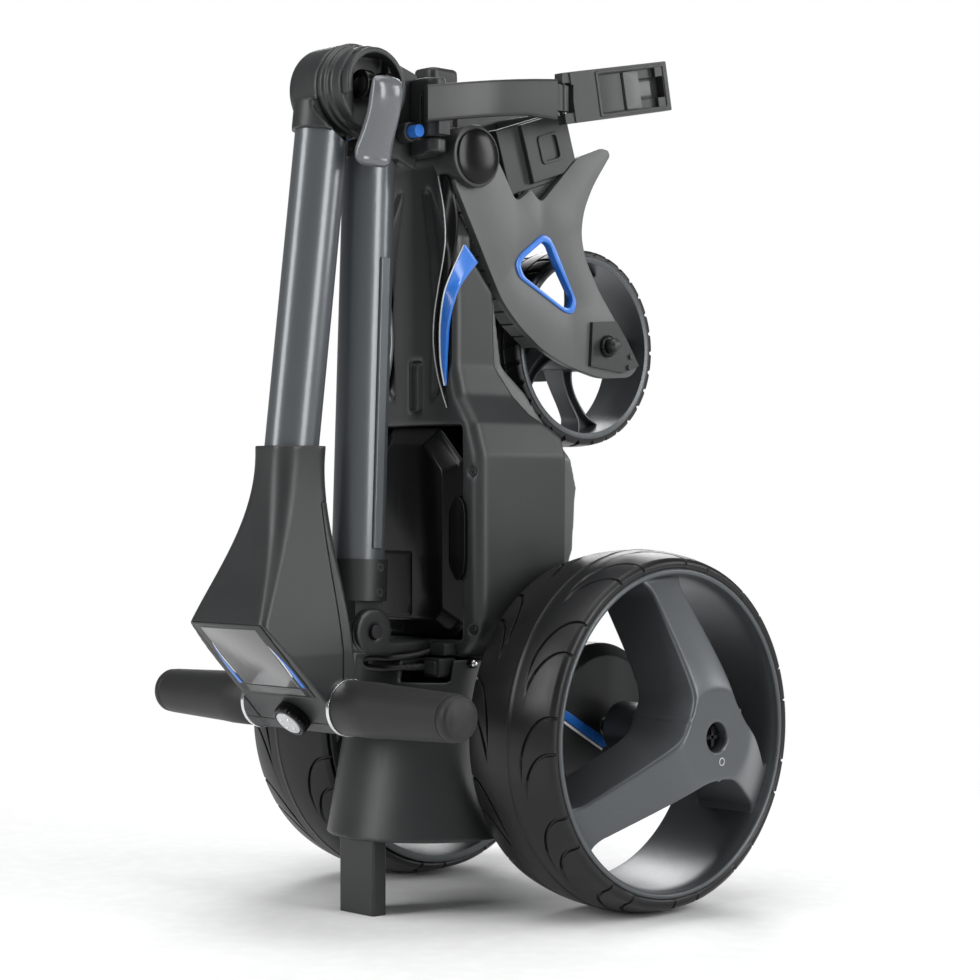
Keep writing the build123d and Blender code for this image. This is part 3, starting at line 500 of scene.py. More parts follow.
def tread_columns():
    """All columns across the tyre, from its outer to its inner edge, with a fine ridge at the crown."""
    outer = half_columns(outer_x, -1, 0.0)
    inner = half_columns(inner_x, 1, INNER_LAG)[::-1]
    start, end = outer[-1], inner[0]
    stops = [start[0] + (end[0] - start[0]) * k / 10 for k in range(1, 10)]
    stops = [x for x in stops if abs(x - crown_x) > RIDGE_ROOM]
    stops += [crown_x - RIDGE_HALF, crown_x, crown_x + RIDGE_HALF]
    middle = []
    for x in sorted(stops, reverse=True):
        t = (x - start[0]) / (end[0] - start[0])
        radius = tyre_radius(x) + (RIDGE_HEIGHT if x == crown_x else 0.0)
        shift, half = (start[i] * (1 - t) + end[i] * t for i in (2, 3))
        middle.append((x, radius, shift, half, (0.0, 0.0)))
    return outer + middle + inner


def tread_rows(half):
    """Rows of one period at a groove half width given as an angle: (angle, groove, depth share)."""
    lags = [*GROOVE_LAGS, 2 * math.pi / GROOVE_PAIRS]
    wall = GROOVE_WALL[-1][0]
    rows = []
    for groove, land in enumerate(LAND_ROWS):
        here, following = lags[groove], lags[groove + 1]
        rows += [(here + side * half, groove, deep) for side, deep in GROOVE_WALL]
        start, end = here + wall * half, following - wall * half
        rows += [(start + (end - start) * i / land, groove, 0) for i in range(1, land)]
    return rows


def rear_tyre():
    """A wide smooth tyre with pairs of curved grooves cut in from both edges."""
    columns = tread_columns()
    laid = [tread_rows(half / crown_r) for x, r, shift, half, shares in columns]
    verts = []
    for turn in range(GROOVE_PAIRS):
        base = GROOVE_PHASE + 2 * math.pi * turn / GROOVE_PAIRS
        for row in range(len(laid[0])):
            for j, (x, r, shift, half, shares) in enumerate(columns):
                angle, groove, deep = laid[j][row]
                reach = r - GROOVE_DEPTH * deep * shares[groove]
                spin = base + shift + angle
                verts.append((x, axle.y + reach * math.cos(spin), axle.z + reach * math.sin(spin)))
    return verts, grid(GROOVE_PAIRS * len(laid[0]), len(columns), True, True)


pair("rear_wheel_tyre", rear_tyre(), "tyre_rubber", "wheel_*", ["rear_tyre_*"], 42)

# ---------------------------------------------------------------- rear rims and spokes

SPOKE_ANGLES = (94, 214, 334)
SPOKE_DEPTH, SPOKE_EDGE, SPOKE_DRAFT = 56.0, 2.0, 0.6
SPOKE_DISH = 46.0
ROOT_HALF, ROOT_REACH = 20.2, 28.0
TAPER, TAPER_REACH = 5.2, 82.0
CORNER_SOFT = 1.6
FLARE_START, FLARE_REACH, FLARE_SIZE = 99.0, 13.5, 10.0
HUB_FLAT = 33.0
HUB_FACE, HUB_BACK = 206.6, 150.0
HUB_BORE = 10.6
SLEEVE_BORE, SLEEVE_R = 10.8, 20.0
CORNER_REACH = 31.0
RIM_REACH = 112.5
LENGTH_STEPS, FACE_STEPS, EDGE_STEPS, WALL_STEPS = 46, 8, 4, 6


def spoke_half(a):
    """Half the width of a spoke at a distance along it, in millimetres, flaring into the rim."""
    plain = ROOT_HALF - TAPER * (a - ROOT_REACH) / TAPER_REACH
    corner = (CORNER_REACH - 0.5 * a) / 0.866
    width = CORNER_SOFT * math.log(math.exp(plain / CORNER_SOFT) + math.exp(corner / CORNER_SOFT))
    flare = min(1.0, max(0.0, (a - FLARE_START) / FLARE_REACH))
    return width + FLARE_SIZE * (1 - math.sqrt(1 - flare ** 2))


def spoke_front(a, p):
    """Height of a spoke's face along X, in millimetres from the trolley's middle plane."""
    t = max(0.0, (math.hypot(a, p) - HUB_FLAT) / (RIM_REACH - HUB_FLAT))
    ease = t * t / (t + 0.12)
    return HUB_FACE - SPOKE_DISH * min(1.0, ease * 1.12)


def spoke_section(a):
    """A spoke's cross-section at a distance along it, as (across, x)."""
    half = spoke_half(a)
    flat, side = half - SPOKE_EDGE, spoke_front(a, half)
    face = [-flat + 2 * flat * k / FACE_STEPS for k in range(FACE_STEPS + 1)]
    flank = []
    for k in range(1, EDGE_STEPS + 1):
        q = math.pi / 2 * k / EDGE_STEPS
        flank.append((flat + SPOKE_EDGE * math.sin(q), side - SPOKE_EDGE + SPOKE_EDGE * math.cos(q)))
    for k in range(1, WALL_STEPS + 1):
        f = k / WALL_STEPS
        flank.append((half + SPOKE_DRAFT * f, side - SPOKE_EDGE - (SPOKE_DEPTH - 2 * SPOKE_EDGE) * f))
    flank.append((flat, side - SPOKE_DEPTH))
    return [(p, spoke_front(a, p)) for p in face] + flank + [(-p, x) for p, x in reversed(flank)]


def rim_spokes():
    """Three deep spokes lofted from the hub out to the barrel."""
    first, last = 0.5 * CORNER_REACH, RIM_REACH + 0.5
    spokes = []
    for angle in SPOKE_ANGLES:
        turn = math.radians(angle)
        along = Vector((0, math.cos(turn), math.sin(turn)))
        across = Vector((0, -math.sin(turn), math.cos(turn)))
        rings = []
        for k in range(LENGTH_STEPS + 1):
            a = first + (last - first) * k / LENGTH_STEPS
            root = axle + along * (a * MM)
            spots = [(root + across * (p * MM), x * MM) for p, x in spoke_section(a)]
            rings.append([(x, spot.y, spot.z) for spot, x in spots])
        spokes.append(loft(rings))
    return join(*spokes)


def hub_core():
    """The flat middle of the hub round its deep button recess."""
    steps = 72
    turns = [2 * math.pi * i / steps for i in range(steps)]
    sides = []
    for turn in turns:
        nearest = min(abs((math.degrees(turn) - a + 180) % 360 - 180) for a in SPOKE_ANGLES)
        sides.append((0.5 * CORNER_REACH + 1.2) / math.cos(math.radians(nearest)))
    levels = [(sides, HUB_BACK), (sides, HUB_FACE)]
    for r, x in ((HUB_BORE + 1.6, HUB_FACE), (HUB_BORE + 0.5, HUB_FACE - 0.4), (HUB_BORE, HUB_FACE - 1.6),
                 (HUB_BORE, HUB_FACE - 8.6), (HUB_BORE, HUB_BACK)):
        levels.append(([r] * steps, x))
    verts = []
    for radii, x in levels:
        for r, turn in zip(radii, turns):
            verts.append((x * MM, axle.y + r * MM * math.cos(turn), axle.z + r * MM * math.sin(turn)))
    return verts, grid(len(levels), steps, True, True)


def hub_sleeve():
    """The sleeve behind the hub that slides on the axle."""
    return lathe([(112, SLEEVE_BORE), (112, SLEEVE_R - 1), (113, SLEEVE_R), (152, SLEEVE_R),
                  (152, SLEEVE_BORE)], axle, 72)


def barrel_profile():
    """The dished barrel with its rounded outer lip, as (x, radius)."""
    seat = seat_r / MM - 0.1
    lip, back = outer_x / MM, inner_x / MM
    well, slope_x = seat - 6.0, 150.0
    points = [(back - 1.6, seat + 1.4), (back - 2.0, seat - 0.4), (back - 1.6, seat - 4.0),
              (back + 6, seat - 5.6), (120, seat - 6.4), (slope_x, well)]
    for k in range(9):
        t = k / 8
        points.append((slope_x + (lip - 2.5 - slope_x) * t, well + 2.4 * t ** 3))
    for k in range(9):
        turn = math.pi * k / 8
        points.append((lip - 2.5 + 3.0 * math.sin(turn), seat - 1.2 - 2.4 * math.cos(turn)))
    return points + [(lip - 6, seat), (back + 4, seat)]


pair("rear_wheel_rim", lathe(barrel_profile(), axle, 288), "rim_graphite", "wheel_*", ["rear_rim_*"], 32)
spoke_shape = join(rim_spokes(), hub_core(), hub_sleeve())
for spokes in pair("rear_wheel_spokes", spoke_shape, "rim_graphite", "wheel_*", ["rear_rim_*"], 32):
    mould(spokes, 1.0, 3)

# ---------------------------------------------------------------- softened edges on the moulded parts

EDGE_SOFT = {"axle_housing": 1.0, "stand_foot": 1.2, "bag_box": 1.6, "strap_clasp_right": 1.0,
             "strap_clasp_left": 1.0, "handle_back": 1.0, "base_socket": 0.8, "battery_case": 0.8,
             "adjuster_plate": 0.5, "fork_pivot_pin": 0.8, "gearbox_case": 0.8, "motor_case": 0.8}
MOULDED = {"chassis_frame": (1.3, 14), "underside_cover": (1.5, 16), "rear_cover": (1.1, 6),
           "hinge_elbow": (1.0, 22), "bag_cradle": (1.1, 14), "handle_shell": (1.0, 5),
           "top_hinge_head": (0.9, 5)}


def soften(item, width):
    """Small rounded edges on a CAD node; its own vertices stay as they are."""
    weld = item.modifiers.new("weld", "WELD")
    weld.merge_threshold = 1e-5
    bevel = item.modifiers.new("bevel", "BEVEL")
    bevel.width = width * MM
    bevel.segments = 3
    bevel.limit_method = "ANGLE"
    bevel.angle_limit = math.radians(32)
    bevel.use_clamp_overlap = True
    bevel.loop_slide = False
    even = item.modifiers.new("even", "WEIGHTED_NORMAL")
    even.keep_sharp = False


def clear_normals(item):
    """Drops the imported normals, so that the rounded edges shade by themselves."""
    layers = item.data.attributes
    for layer in [a.name for a in layers if a.name in ("custom_normal", "sharp_face", "sharp_edge")]:
        layers.remove(layers[layer])
    item.data.polygons.foreach_set("use_smooth", [True] * len(item.data.polygons))


for name, width in EDGE_SOFT.items():
    clear_normals(frame["nodes"][name])
    soften(frame["nodes"][name], width)
for name, (cell, passes) in MOULDED.items():
    clear_normals(frame["nodes"][name])
    mould(frame["nodes"][name], cell, passes)

# ---------------------------------------------------------------- handle console

dial_spot = anchor("dial_turn")
out = Vector(joints["dial_turn"]["axis"])
up = Vector((0, out.z, -out.y))
DIAL_DROP = 54.0 * MM
screen_mid = dial_spot + up * DIAL_DROP


def on_screen(x, y, lift=0.0):
    """A point on the screen panel, in millimetres across, up and off it."""
    return screen_mid + Vector((x * MM, 0, 0)) + up * (y * MM) + out * (lift * MM)


def on_dial(x, y, lift=0.0):
    """A point about the dial's middle, in millimetres across, up and off the panel."""
    return dial_spot + Vector((x * MM, 0, 0)) + up * (y * MM) + out * (lift * MM)


BEZEL = rectangle(-39.0, 39.0, -34.0, 37.0)
DISPLAY = rectangle(-31.2, 31.2, -24.0, 33.0)
KEY_BAND = rectangle(-31.0, 31.0, -32.0, -25.0)
SLASH_BLUE = [(33.0, -24), (37.5, -24), (37.8, -8), (36.0, 4), (33.6, 14), (34.8, 0), (34.0, -12)]
SLASH_WHITE = [(31.6, -14), (33.0, -12), (34.0, 0), (33.0, 13), (31.6, 18), (32.6, 4)]

add("screen_bezel", slab(BEZEL, -2.9, 0.6, on_screen, 0.8, 2.0), "charcoal_plastic", "upper_shaft",
    ["screen_panel"])
add("screen_display", slab(DISPLAY, 0.2, 0.95, on_screen, 0.25, 1.2), "screen_grey", "upper_shaft")
add("screen_key_band", slab(KEY_BAND, 0.2, 0.9, on_screen, 0.25, 1.0), "satin_grey_plastic", "upper_shaft")
pair("screen_slash_blue", slab(SLASH_BLUE, 0.2, 0.95, on_screen, 0.15, 0.8), "accent_blue", "upper_shaft")
pair("screen_slash_white", slab(SLASH_WHITE, 0.2, 0.98, on_screen, 0.15, 0.6), "accent_white", "upper_shaft")

# the dial: a knurled ring round a silver disc with small plain dots
CUP_BOTTOM, CUP_FLOOR, CUP_RIM = 0.3, 3.2, 9.0
CUP_BORE = 10.3
KNURL_TEETH, KNURL_DEPTH = 20, 0.75
DOT_RING = 5.6


def dial_ring():
    """The knurled cup, with the bore that the cap sits in."""
    steps = 160
    verts = []
    levels = ((4.0, CUP_BOTTOM, 0), (12.6, CUP_BOTTOM, 0), (13.4, 1.2, 1), (13.5, 6.8, 1), (13.1, 8.4, 0.6),
              (12.2, CUP_RIM, 0), (CUP_BORE + 0.6, CUP_RIM, 0), (CUP_BORE, CUP_RIM - 0.6, 0),
              (CUP_BORE, CUP_FLOOR, 0), (4.0, CUP_FLOOR, 0))
    for radius, lift, knurl in levels:
        for i in range(steps):
            turn = 2 * math.pi * i / steps
            r = radius - knurl * KNURL_DEPTH * max(0.0, math.cos(KNURL_TEETH * turn)) ** 2
            verts.append(on_dial(r * math.cos(turn), r * math.sin(turn), lift))
    return verts, grid(len(levels), steps, True, True)


add("dial_ring", dial_ring(), "gloss_black", "dial", ["dial_knob"], 50)
add("dial_disc", disc(10.0, 5.0, 9.6, on_dial, 0.5), "silver_plastic", "dial_push", ["dial_cap"])
dots = [disc(1.35, 9.4, 10.35, on_dial, 0.15, 20, 0.25, u, v) for u, v in circle(0, 0, DOT_RING, 4, 45, 405)]
add("dial_dots", join(*dots), "bright_metal", "dial_push")

# the grips: tapered rubber with a flat, eased end cap behind a fine groove
grip_low, grip_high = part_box("handle_grips")
end_x = grip_high.x / MM
GRIP_START = 49.6
GRIP_PROFILE = [(GRIP_START, 12.0), (GRIP_START, 18.9), (GRIP_START + 0.6, 19.4), (GRIP_START + 30, 19.3),
                (90, 18.6), (130, 17.3), (end_x - 9.2, 16.5), (end_x - 8.8, 15.9), (end_x - 8.2, 16.4),
                (end_x - 3.4, 16.0), (end_x - 1.3, 15.0), (end_x - 0.3, 13.2), (end_x - 0.5, 11.8),
                (end_x, 11.2), (end_x, 0.01), (end_x - 6, 0.01), (end_x - 6, 12.0)]
pair("grip", lathe(GRIP_PROFILE, (grip_low + grip_high) / 2, 96), "grip_rubber", "upper_shaft",
     ["handle_grips"], 50)

# ---------------------------------------------------------------- cam lever

lever_x, lever_y, lever_z = joint_mm("lever_open")
# the paddle's middle line: x, z, half width and half thickness
PADDLE = ((45.6, 598.4, 8.0, 1.0), (47.4, 596.8, 12.2, 2.2), (48.2, 592.5, 13.4, 3.3),
          (47.0, 585.0, 13.8, 4.0), (44.6, 575.0, 13.8, 4.0), (40.6, 565.0, 14.0, 4.0),
          (36.6, 556.0, 14.8, 4.0), (33.6, 549.0, 15.8, 3.8), (32.8, 543.5, 15.9, 3.3),
          (33.8, 539.6, 14.0, 2.7), (34.8, 537.4, 9.0, 1.6))
PADDLE_STEPS = 4
PADDLE_CROWN, PADDLE_HOLLOW = 0.6, 0.4


def lever_skin():
    """A curved paddle, tucked in at the barrel, that slants inwards to a flared tip."""
    run = spline(PADDLE, (len(PADDLE) - 1) * PADDLE_STEPS)
    rings = []
    for i, (x, z, half, thick) in enumerate(run):
        before, after = run[max(i - 1, 0)], run[min(i + 1, len(run) - 1)]
        way = Vector((after[0] - before[0], 0, after[1] - before[1])).normalized()
        away = Vector((-way.z, 0, way.x))
        ring = []
        for j in range(40):
            turn = 2 * math.pi * j / 40
            c, s = math.cos(turn), math.sin(turn)
            across = half * math.copysign(abs(c) ** 0.42, c)
            off = thick * math.copysign(abs(s) ** 0.6, s)
            crown = PADDLE_CROWN * thick * (1 - (across / half) ** 2) * (1 if s > 0 else PADDLE_HOLLOW)
            spot = Vector((x, 0, z)) + away * (off + crown)
            ring.append(at(spot.x, lever_y + across, spot.z))
        rings.append(ring)
    return loft(rings)


CHEEK_IN, CHEEK_OUT = 5.6, 13.6
cheek = [circle(lever_x, lever_z, 10.6), circle(lever_x, lever_z, 6.2, 32)]
cheeks = [plate(cheek, lever_y + side * CHEEK_IN, lever_y + side * CHEEK_OUT, 0.9, along_y)
          for side in (1, -1)]
arch = circle(lever_y, lever_z, 27.4, 40, -38, 196) + circle(lever_y, lever_z, 23.2, 40, -38, 196)[::-1]
add("cam_lever_paddle", lever_skin(), "lever_grey", "clamp_lever", ["cam_lever"], 60)
add("cam_lever_cheeks", join(*cheeks), "gloss_black", "clamp_lever", ["cam_lever"])
add("lever_hood", plate([arch], 29.0, 38.0, 1.4, at, 3), "charcoal_plastic", "lower_shaft")

# ---------------------------------------------------------------- fork plates, trims and pivot caps

PLATE_IN, PLATE_OUT = 36.0, 42.0
PLATE_EDGE = [(-104, 536), (-54, 448), (-36, 430), (-12, 413), (14, 402), (53, 393), (85, 395),
              (95, 405), (75, 430), (50, 460), (35, 484), (30, 502), (33, 521), (43, 541), (62, 566),
              (60, 570), (52, 571), (27, 562), (-13, 523), (-24, 533), (-28, 529), (-39, 522),
              (-54, 546), (-66, 562)]
WINDOW_EDGE = [(-12, 500), (-4, 498), (3, 488), (25, 450), (21, 441), (12, 442), (-37, 466),
               (-41, 476), (-36, 483)]
FLANGE_EDGE = [(-103, 531), (-83, 499), (-54, 448.5), (-36, 430.5), (-12, 413.5)]
FLANGE_INNER = [(-99, 531), (-79.5, 501), (-50.5, 451.5), (-33.5, 434), (-10.5, 417)]
FLANGE_RIBS = (3, 5, 2, 2)
FLANGE_X = 22.5
RIB_SHARE = 0.86
LEDGE = [(-30, 517), (-8, 517), (46, 537), (48, 556), (36, 552), (-30, 534)]
BARREL_OUT = 49.6
window = rounded(WINDOW_EDGE, 9, 4)
_, fork_y, fork_z = joint_mm("fork_fold")


def between(a, b, f):
    """The point a share of the way from one outline point to the next."""
    return a[0] + (b[0] - a[0]) * f, a[1] + (b[1] - a[1]) * f


def fork_side():
    """One plate with its window and deep ribbed flange."""
    parts = [plate([rounded(PLATE_EDGE, 9, 4), window], PLATE_IN, PLATE_OUT, 0.9)]
    for k, count in enumerate(FLANGE_RIBS):
        outer, inner = FLANGE_EDGE[k:k + 2], FLANGE_INNER[k:k + 2]
        for i in range(count):
            f, g = i / count, (i + RIB_SHARE) / count
            quad = [between(*outer, f), between(*outer, g), between(*inner, g), between(*inner, f)]
            parts.append(plate([quad], FLANGE_X, PLATE_IN + 0.3, 0.5, segments=1))
    return join(*parts)


barrel = rod(23.0, PLATE_IN - 9.0, BARREL_OUT, fork_y, fork_z, 1.6, 0.0, 96)
barrel_cap = rod(20.4, BARREL_OUT - 0.6, BARREL_OUT + 1.6, fork_y, fork_z, 1.4, 1.8, 96)
ledge = plate([rounded(LEDGE, 1.5, 3)], 1.0 - PLATE_IN, PLATE_IN - 1.0, 0.6)
trim = plate([window, rounded(inset(WINDOW_EDGE, 5.4), 7, 4)], PLATE_IN + 0.4, PLATE_OUT + 1.3, 1.1)
pair("fork_side", fork_side(), "satin_grey_plastic", "fork", ["fork_plate_*"], 36)
pair("fork_barrel", barrel, "charcoal_plastic", "fork", ["fork_plate_*"])
pair("fork_pivot_cap", barrel_cap, "gloss_black", "fork", (), 50)
add("fork_ledge", ledge, "charcoal_plastic", "fork", (), 36)
pair("window_trim", trim, "accent_blue", "fork", ["window_trims"], 36)

# ---------------------------------------------------------------- front wheel

front_hub = anchor("front_wheel_spin")
_, front_y, front_z = joint_mm("front_wheel_spin")
front_low, front_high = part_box("front_tyre")
front_half = front_high.x / MM
front_r = (front_high.z - front_low.z) / 2 / MM
front_seat = front_r - 6.4
front_well = front_r - 11.0
BLOCKS, BLOCK_GAP, BLOCK_DEPTH = 30, 0.11, 2.0
BAND_HALF, BAND_LINE, BAND_DEPTH = 8.0, 0.9, 0.9
FRONT_SPOKES, FRONT_LEAN, FRONT_SWEEP = 5, math.radians(44), 0.495
SPOKE_IN, SPOKE_OUT, SPOKE_X = 13.0, 67.0, -7.5
WEB_HALF, WEB_LIP = 2.6, 1.5


def front_tread():
    """A small tyre with notched shoulder blocks and a plain centre band."""
    edge = [(front_half, front_r - 6.2), (front_half, front_r - 3.0), (front_half - 1.2, front_r - 1.6)]
    tread_half = front_half - 2.4
    across = 38
    profile = [(-x, r) for x, r in edge]
    for k in range(across + 1):
        x = -tread_half + 2 * tread_half * k / across
        profile.append((x, front_r - 1.3 * abs(x / tread_half) ** 3))
    profile += edge[::-1]
    count = 720
    verts = []
    for i in range(count):
        turn = 2 * math.pi * i / count
        for x, r in profile:
            side = 1 if x > 0 else -1
            phase = (i / count * BLOCKS + 0.25 * side + abs(x) / front_half * 0.35) % 1.0
            on_block = abs(x) > BAND_HALF + 0.5 and r > front_r - 5
            gap = max(0.0, 1 - abs(phase - 0.5) / BLOCK_GAP) if on_block else 0.0
            line = max(0.0, 1 - abs(abs(x) - BAND_HALF) / BAND_LINE)
            reach = r - BLOCK_DEPTH * min(1.0, 2.5 * gap) - BAND_DEPTH * line
            verts.append(at(x, front_y + reach * math.cos(turn), front_z + reach * math.sin(turn)))
    return verts, grid(count, len(profile), True, True)


def front_spoke(lean):
    """One curved spoke of I section, flared into the barrel."""
    rings = []
    for i in range(25):
        t = i / 24
        reach = SPOKE_IN + (SPOKE_OUT - SPOKE_IN) * t
        turn = lean + FRONT_SWEEP * math.sin(t * math.pi / 2)
        wide = 6.2 - 1.6 * math.sin(math.pi * t) + 63.0 * max(0.0, t - 0.78) ** 1.5
        deep = 11.0 - 3.0 * math.sin(math.pi * t)
        slim = wide - WEB_LIP
        way = Vector((0, math.cos(turn), math.sin(turn)))
        across = Vector((0, -math.sin(turn), math.cos(turn)))
        core = at(SPOKE_X, front_y, front_z) + way * (reach * MM)
        shape = [(-wide, -deep), (-slim, -deep), (-slim, -WEB_HALF), (slim, -WEB_HALF), (slim, -deep),
                 (wide, -deep), (wide, deep), (slim, deep), (slim, WEB_HALF), (-slim, WEB_HALF),
                 (-slim, deep), (-wide, deep)]
        rings.append([core + across * (p * MM) + Vector((x * MM, 0, 0)) for p, x in shape])
    return loft(rings)


def mirrored(profile):
    """A profile's outer half and its mirror image, from the left edge to the right."""
    return [(-x, r) for x, r in profile] + profile[::-1]


barrel_half = [(front_half + 0.4, front_seat + 0.2), (front_half + 1.0, front_seat - 1.6),
               (front_half, front_seat - 4.2), (front_half - 4, front_well + 0.6)]
front_barrel = [(-x, r) for x, r in barrel_half] + [(0, front_well)] + barrel_half[::-1]
front_barrel += [(front_half - 2, front_seat), (-front_half + 2, front_seat)]
hub_profile = mirrored([(29.5, 5.4), (29.5, 14.0), (28.0, 15.6), (9, 18.5)])
front_spokes = [front_spoke(2 * math.pi * k / FRONT_SPOKES + FRONT_LEAN) for k in range(FRONT_SPOKES)]
front_rim = join(lathe(front_barrel, front_hub, 160), lathe(hub_profile, front_hub, 72), *front_spokes)
add("front_wheel_rim", front_rim, "rim_graphite", "front_wheel", ["front_rim"], 34)
add("front_wheel_tyre", front_tread(), "tyre_rubber", "front_wheel", ["front_tyre"], 50)

# the tracking adjuster: a grooved knob and a ball end
_, track_y, track_z = joint_mm("tracking_turn")
knob_low, knob_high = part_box("tracking_knob")
KNOB_R, KNOB_TEETH, KNOB_GROOVE = 8.6, 18, 0.9
BALL_R = 6.2
ball_x = knob_high.x / MM - BALL_R - 0.1


def knob_skin(x0, x1):
    """A grooved knob along X."""
    steps = 108
    rings = []
    for radius, x, cut in ((KNOB_R - 2, x0, 0), (KNOB_R - 0.6, x0 + 0.3, 0.6), (KNOB_R, x0 + 0.9, 1),
                           (KNOB_R, x1 - 1.2, 1), (KNOB_R - 1.2, x1 - 0.2, 0.5), (KNOB_R - 2.6, x1, 0)):
        ring = []
        for i in range(steps):
            turn = 2 * math.pi * i / steps
            reach = radius - KNOB_GROOVE * cut * max(0.0, math.cos(KNOB_TEETH * turn)) ** 2
            ring.append(at(x, track_y + reach * math.cos(turn), track_z + reach * math.sin(turn)))
        rings.append(ring)
    return loft(rings)


def ball_skin():
    """The ball, from its pole back to its neck in the knob."""
    rings = []
    for angle in range(80, -61, -10):
        turn = math.radians(angle)
        ring = circle(track_y, track_z, BALL_R * math.cos(turn), 40)
        rings.append([at(ball_x - BALL_R * math.sin(turn), y, z) for y, z in ring])
    return loft(rings)


add("tracking_knob_grip", knob_skin(knob_low.x / MM + 0.2, ball_x - 3.6), "gloss_black", "tracking_dial",
    ["tracking_knob"])
add("tracking_knob_ball", ball_skin(), "charcoal_plastic", "tracking_dial", (), 70)

# ---------------------------------------------------------------- hub buttons

CAP_FLOOR, CAP_FACE, CROSS_FACE = 197.4, 199.6, 201.8
CROSS_LONG, CROSS_SLIM = 6.8, 1.5
hub_z = axle.z / MM


def hub_cap():
    """A recessed cap with a raised cross."""
    parts = [rod(9.6, CAP_FLOOR, CAP_FACE, 0, hub_z, 0.5, 0.0, 48)]
    for half_y, half_z in ((CROSS_LONG, CROSS_SLIM), (CROSS_SLIM, CROSS_LONG)):
        bar = rectangle(-half_y, half_y, hub_z - half_z, hub_z + half_z)
        parts.append(plate([bar], CAP_FACE - 0.4, CROSS_FACE, 0.4))
    return join(*parts)


ring_mark = [(HUB_FACE - 0.1, 2.2), (HUB_FACE + 0.3, 2.2), (HUB_FACE + 0.3, 2.9), (HUB_FACE - 0.1, 2.9)]
pair("hub_cap", hub_cap(), "gloss_black", "hub_release_*", ["hub_button_*"], 36)
pair("hub_ring_mark", lathe(ring_mark, at(0, 4.5, hub_z - 17.5), 40), "silver_plastic", "wheel_*")

# ---------------------------------------------------------------- bag arms and strap clasps

pin_x, pin_y, pin_z = joint_mm("arm_swing_right")
tip_x, tip_y, tip_z = joint_mm("clasp_turn_right")
ARM_RISE = 0.20
ARM_STEPS = 44
BAND_THICK, BAND_HIGH, BAND_LOW = 3.4, 13.4, 13.2
KNUCKLE_HALF, TIP_HALF = 15.4, 9.8


def arm_band():
    """A smooth upright band that starts outside the pin, bows outwards and climbs to the clasp hinge."""
    run = spline([(47.0, pin_y - 15, 0), (52.6, pin_y + 1, 0), (58.0, -100, 0), (62.4, -80, 0),
                  (63.8, -60, 0), (tip_x, -38, 0), (tip_x, tip_y - 8.5, 0)], ARM_STEPS)
    rings = []
    for i, spot in enumerate(run):
        way = (run[min(i + 1, ARM_STEPS)] - run[max(i - 1, 0)]).normalized()
        across = Vector((way.y, -way.x, 0))
        t = (spot.y - pin_y) / (tip_y - pin_y)
        z = pin_z + 8.6 + 16.0 * t - 2.0 * max(0.0, t) ** 3
        low = BAND_LOW + 5.0 * max(0.0, t - 0.62) / 0.38
        section = rounded(rectangle(-BAND_THICK, BAND_THICK, -low, BAND_HIGH), 2.2, 3)
        rings.append([at(*(spot + across * u)[:2], z + v) for u, v in section])
    return loft(rings)


def bag_arm():
    """The band with its knuckle on the pin and its barrel at the clasp hinge."""
    web = rectangle(pin_y - 5.5, pin_y + 5.5, pin_z - 14.6, pin_z + 14.6)
    tongue = rounded(rectangle(tip_y - 9.5, tip_y, tip_z - TIP_HALF, tip_z + TIP_HALF), 1.0)
    return join(arm_band(), post(7.9, pin_x, pin_y, pin_z - KNUCKLE_HALF, pin_z + KNUCKLE_HALF),
                plate([web], 44.0, 50.5, 0.6),
                post(4.4, tip_x, tip_y, tip_z - TIP_HALF, tip_z + TIP_HALF, 0.5),
                plate([tongue], tip_x - 2.9, tip_x + 2.9, 0.6))


def tilted(y, z, tilt):
    """A point of the (y, z) plane turned about the X direction by an angle."""
    c, s = math.cos(tilt), math.sin(tilt)
    return y * c - z * s, y * s + z * c


def on_clasp(x, y, z):
    """A point in the right clasp's own frame: across, along and up."""
    along, rise = tilted(y, z, math.atan(ARM_RISE))
    return at(tip_x + x, tip_y + along, tip_z + rise)


CLASP_PLATE = rounded(rectangle(37, 62.4, -14.3, 14.3), 1.5)
CLASP_TEE = rounded([(64.4, -14.2), (81, -14.2), (81, -5.6), (93, -5.6), (93, 5.6), (81, 5.6), (81, 14.2),
                     (64.4, 14.2)], 1.0, 3)
CLASP_BACK = rectangle(77.4, 108.4, -8.4, 8.4)
CLASP_RIM = [rounded(rectangle(33, 111, -17.4, 17.4), 2.0, 3),
             rounded(rectangle(35.6, 108.8, -15.4, 15.4), 1.5, 3)]
pair("bag_arm_band", bag_arm(), "charcoal_plastic", "support_arm_*", ["bag_arm_*"])
pair("clasp_plate", plate([CLASP_PLATE], 1.4, 3.3, 0.5, on_clasp), "charcoal_plastic", "clasp_*")
pair("clasp_slider", plate([CLASP_TEE], 1.4, 4.5, 0.6, on_clasp), "satin_grey_plastic", "clasp_*")
pair("clasp_back", plate([CLASP_BACK], -3.4, -1.6, 0.3, on_clasp), "charcoal_plastic", "clasp_*")
pair("clasp_rim", plate(CLASP_RIM, 4.6, 5.7, 0.4, on_clasp), "charcoal_plastic", "clasp_*")

# ---------------------------------------------------------------- bag box trim

BOX_TILT = math.radians(18)
BOX_Y, BOX_Z = -12.0, 561.0


def on_box(x, y, z):
    """A point in the leaning bag box's own frame: across, along and up its side."""
    along, rise = tilted(y, z, BOX_TILT)
    return at(x, BOX_Y + along, BOX_Z + rise)


SQUARE = rectangle(-1, 21, -9, 13)
square_trim = plate([rounded(SQUARE, 4, 4), rounded(inset(SQUARE, 3.2), 3, 4)], 40.6, 42.2, 0.5, on_box)
pair("box_square", square_trim, "charcoal_plastic", "fork")

# ---------------------------------------------------------------- chassis strips, stripes and spine line

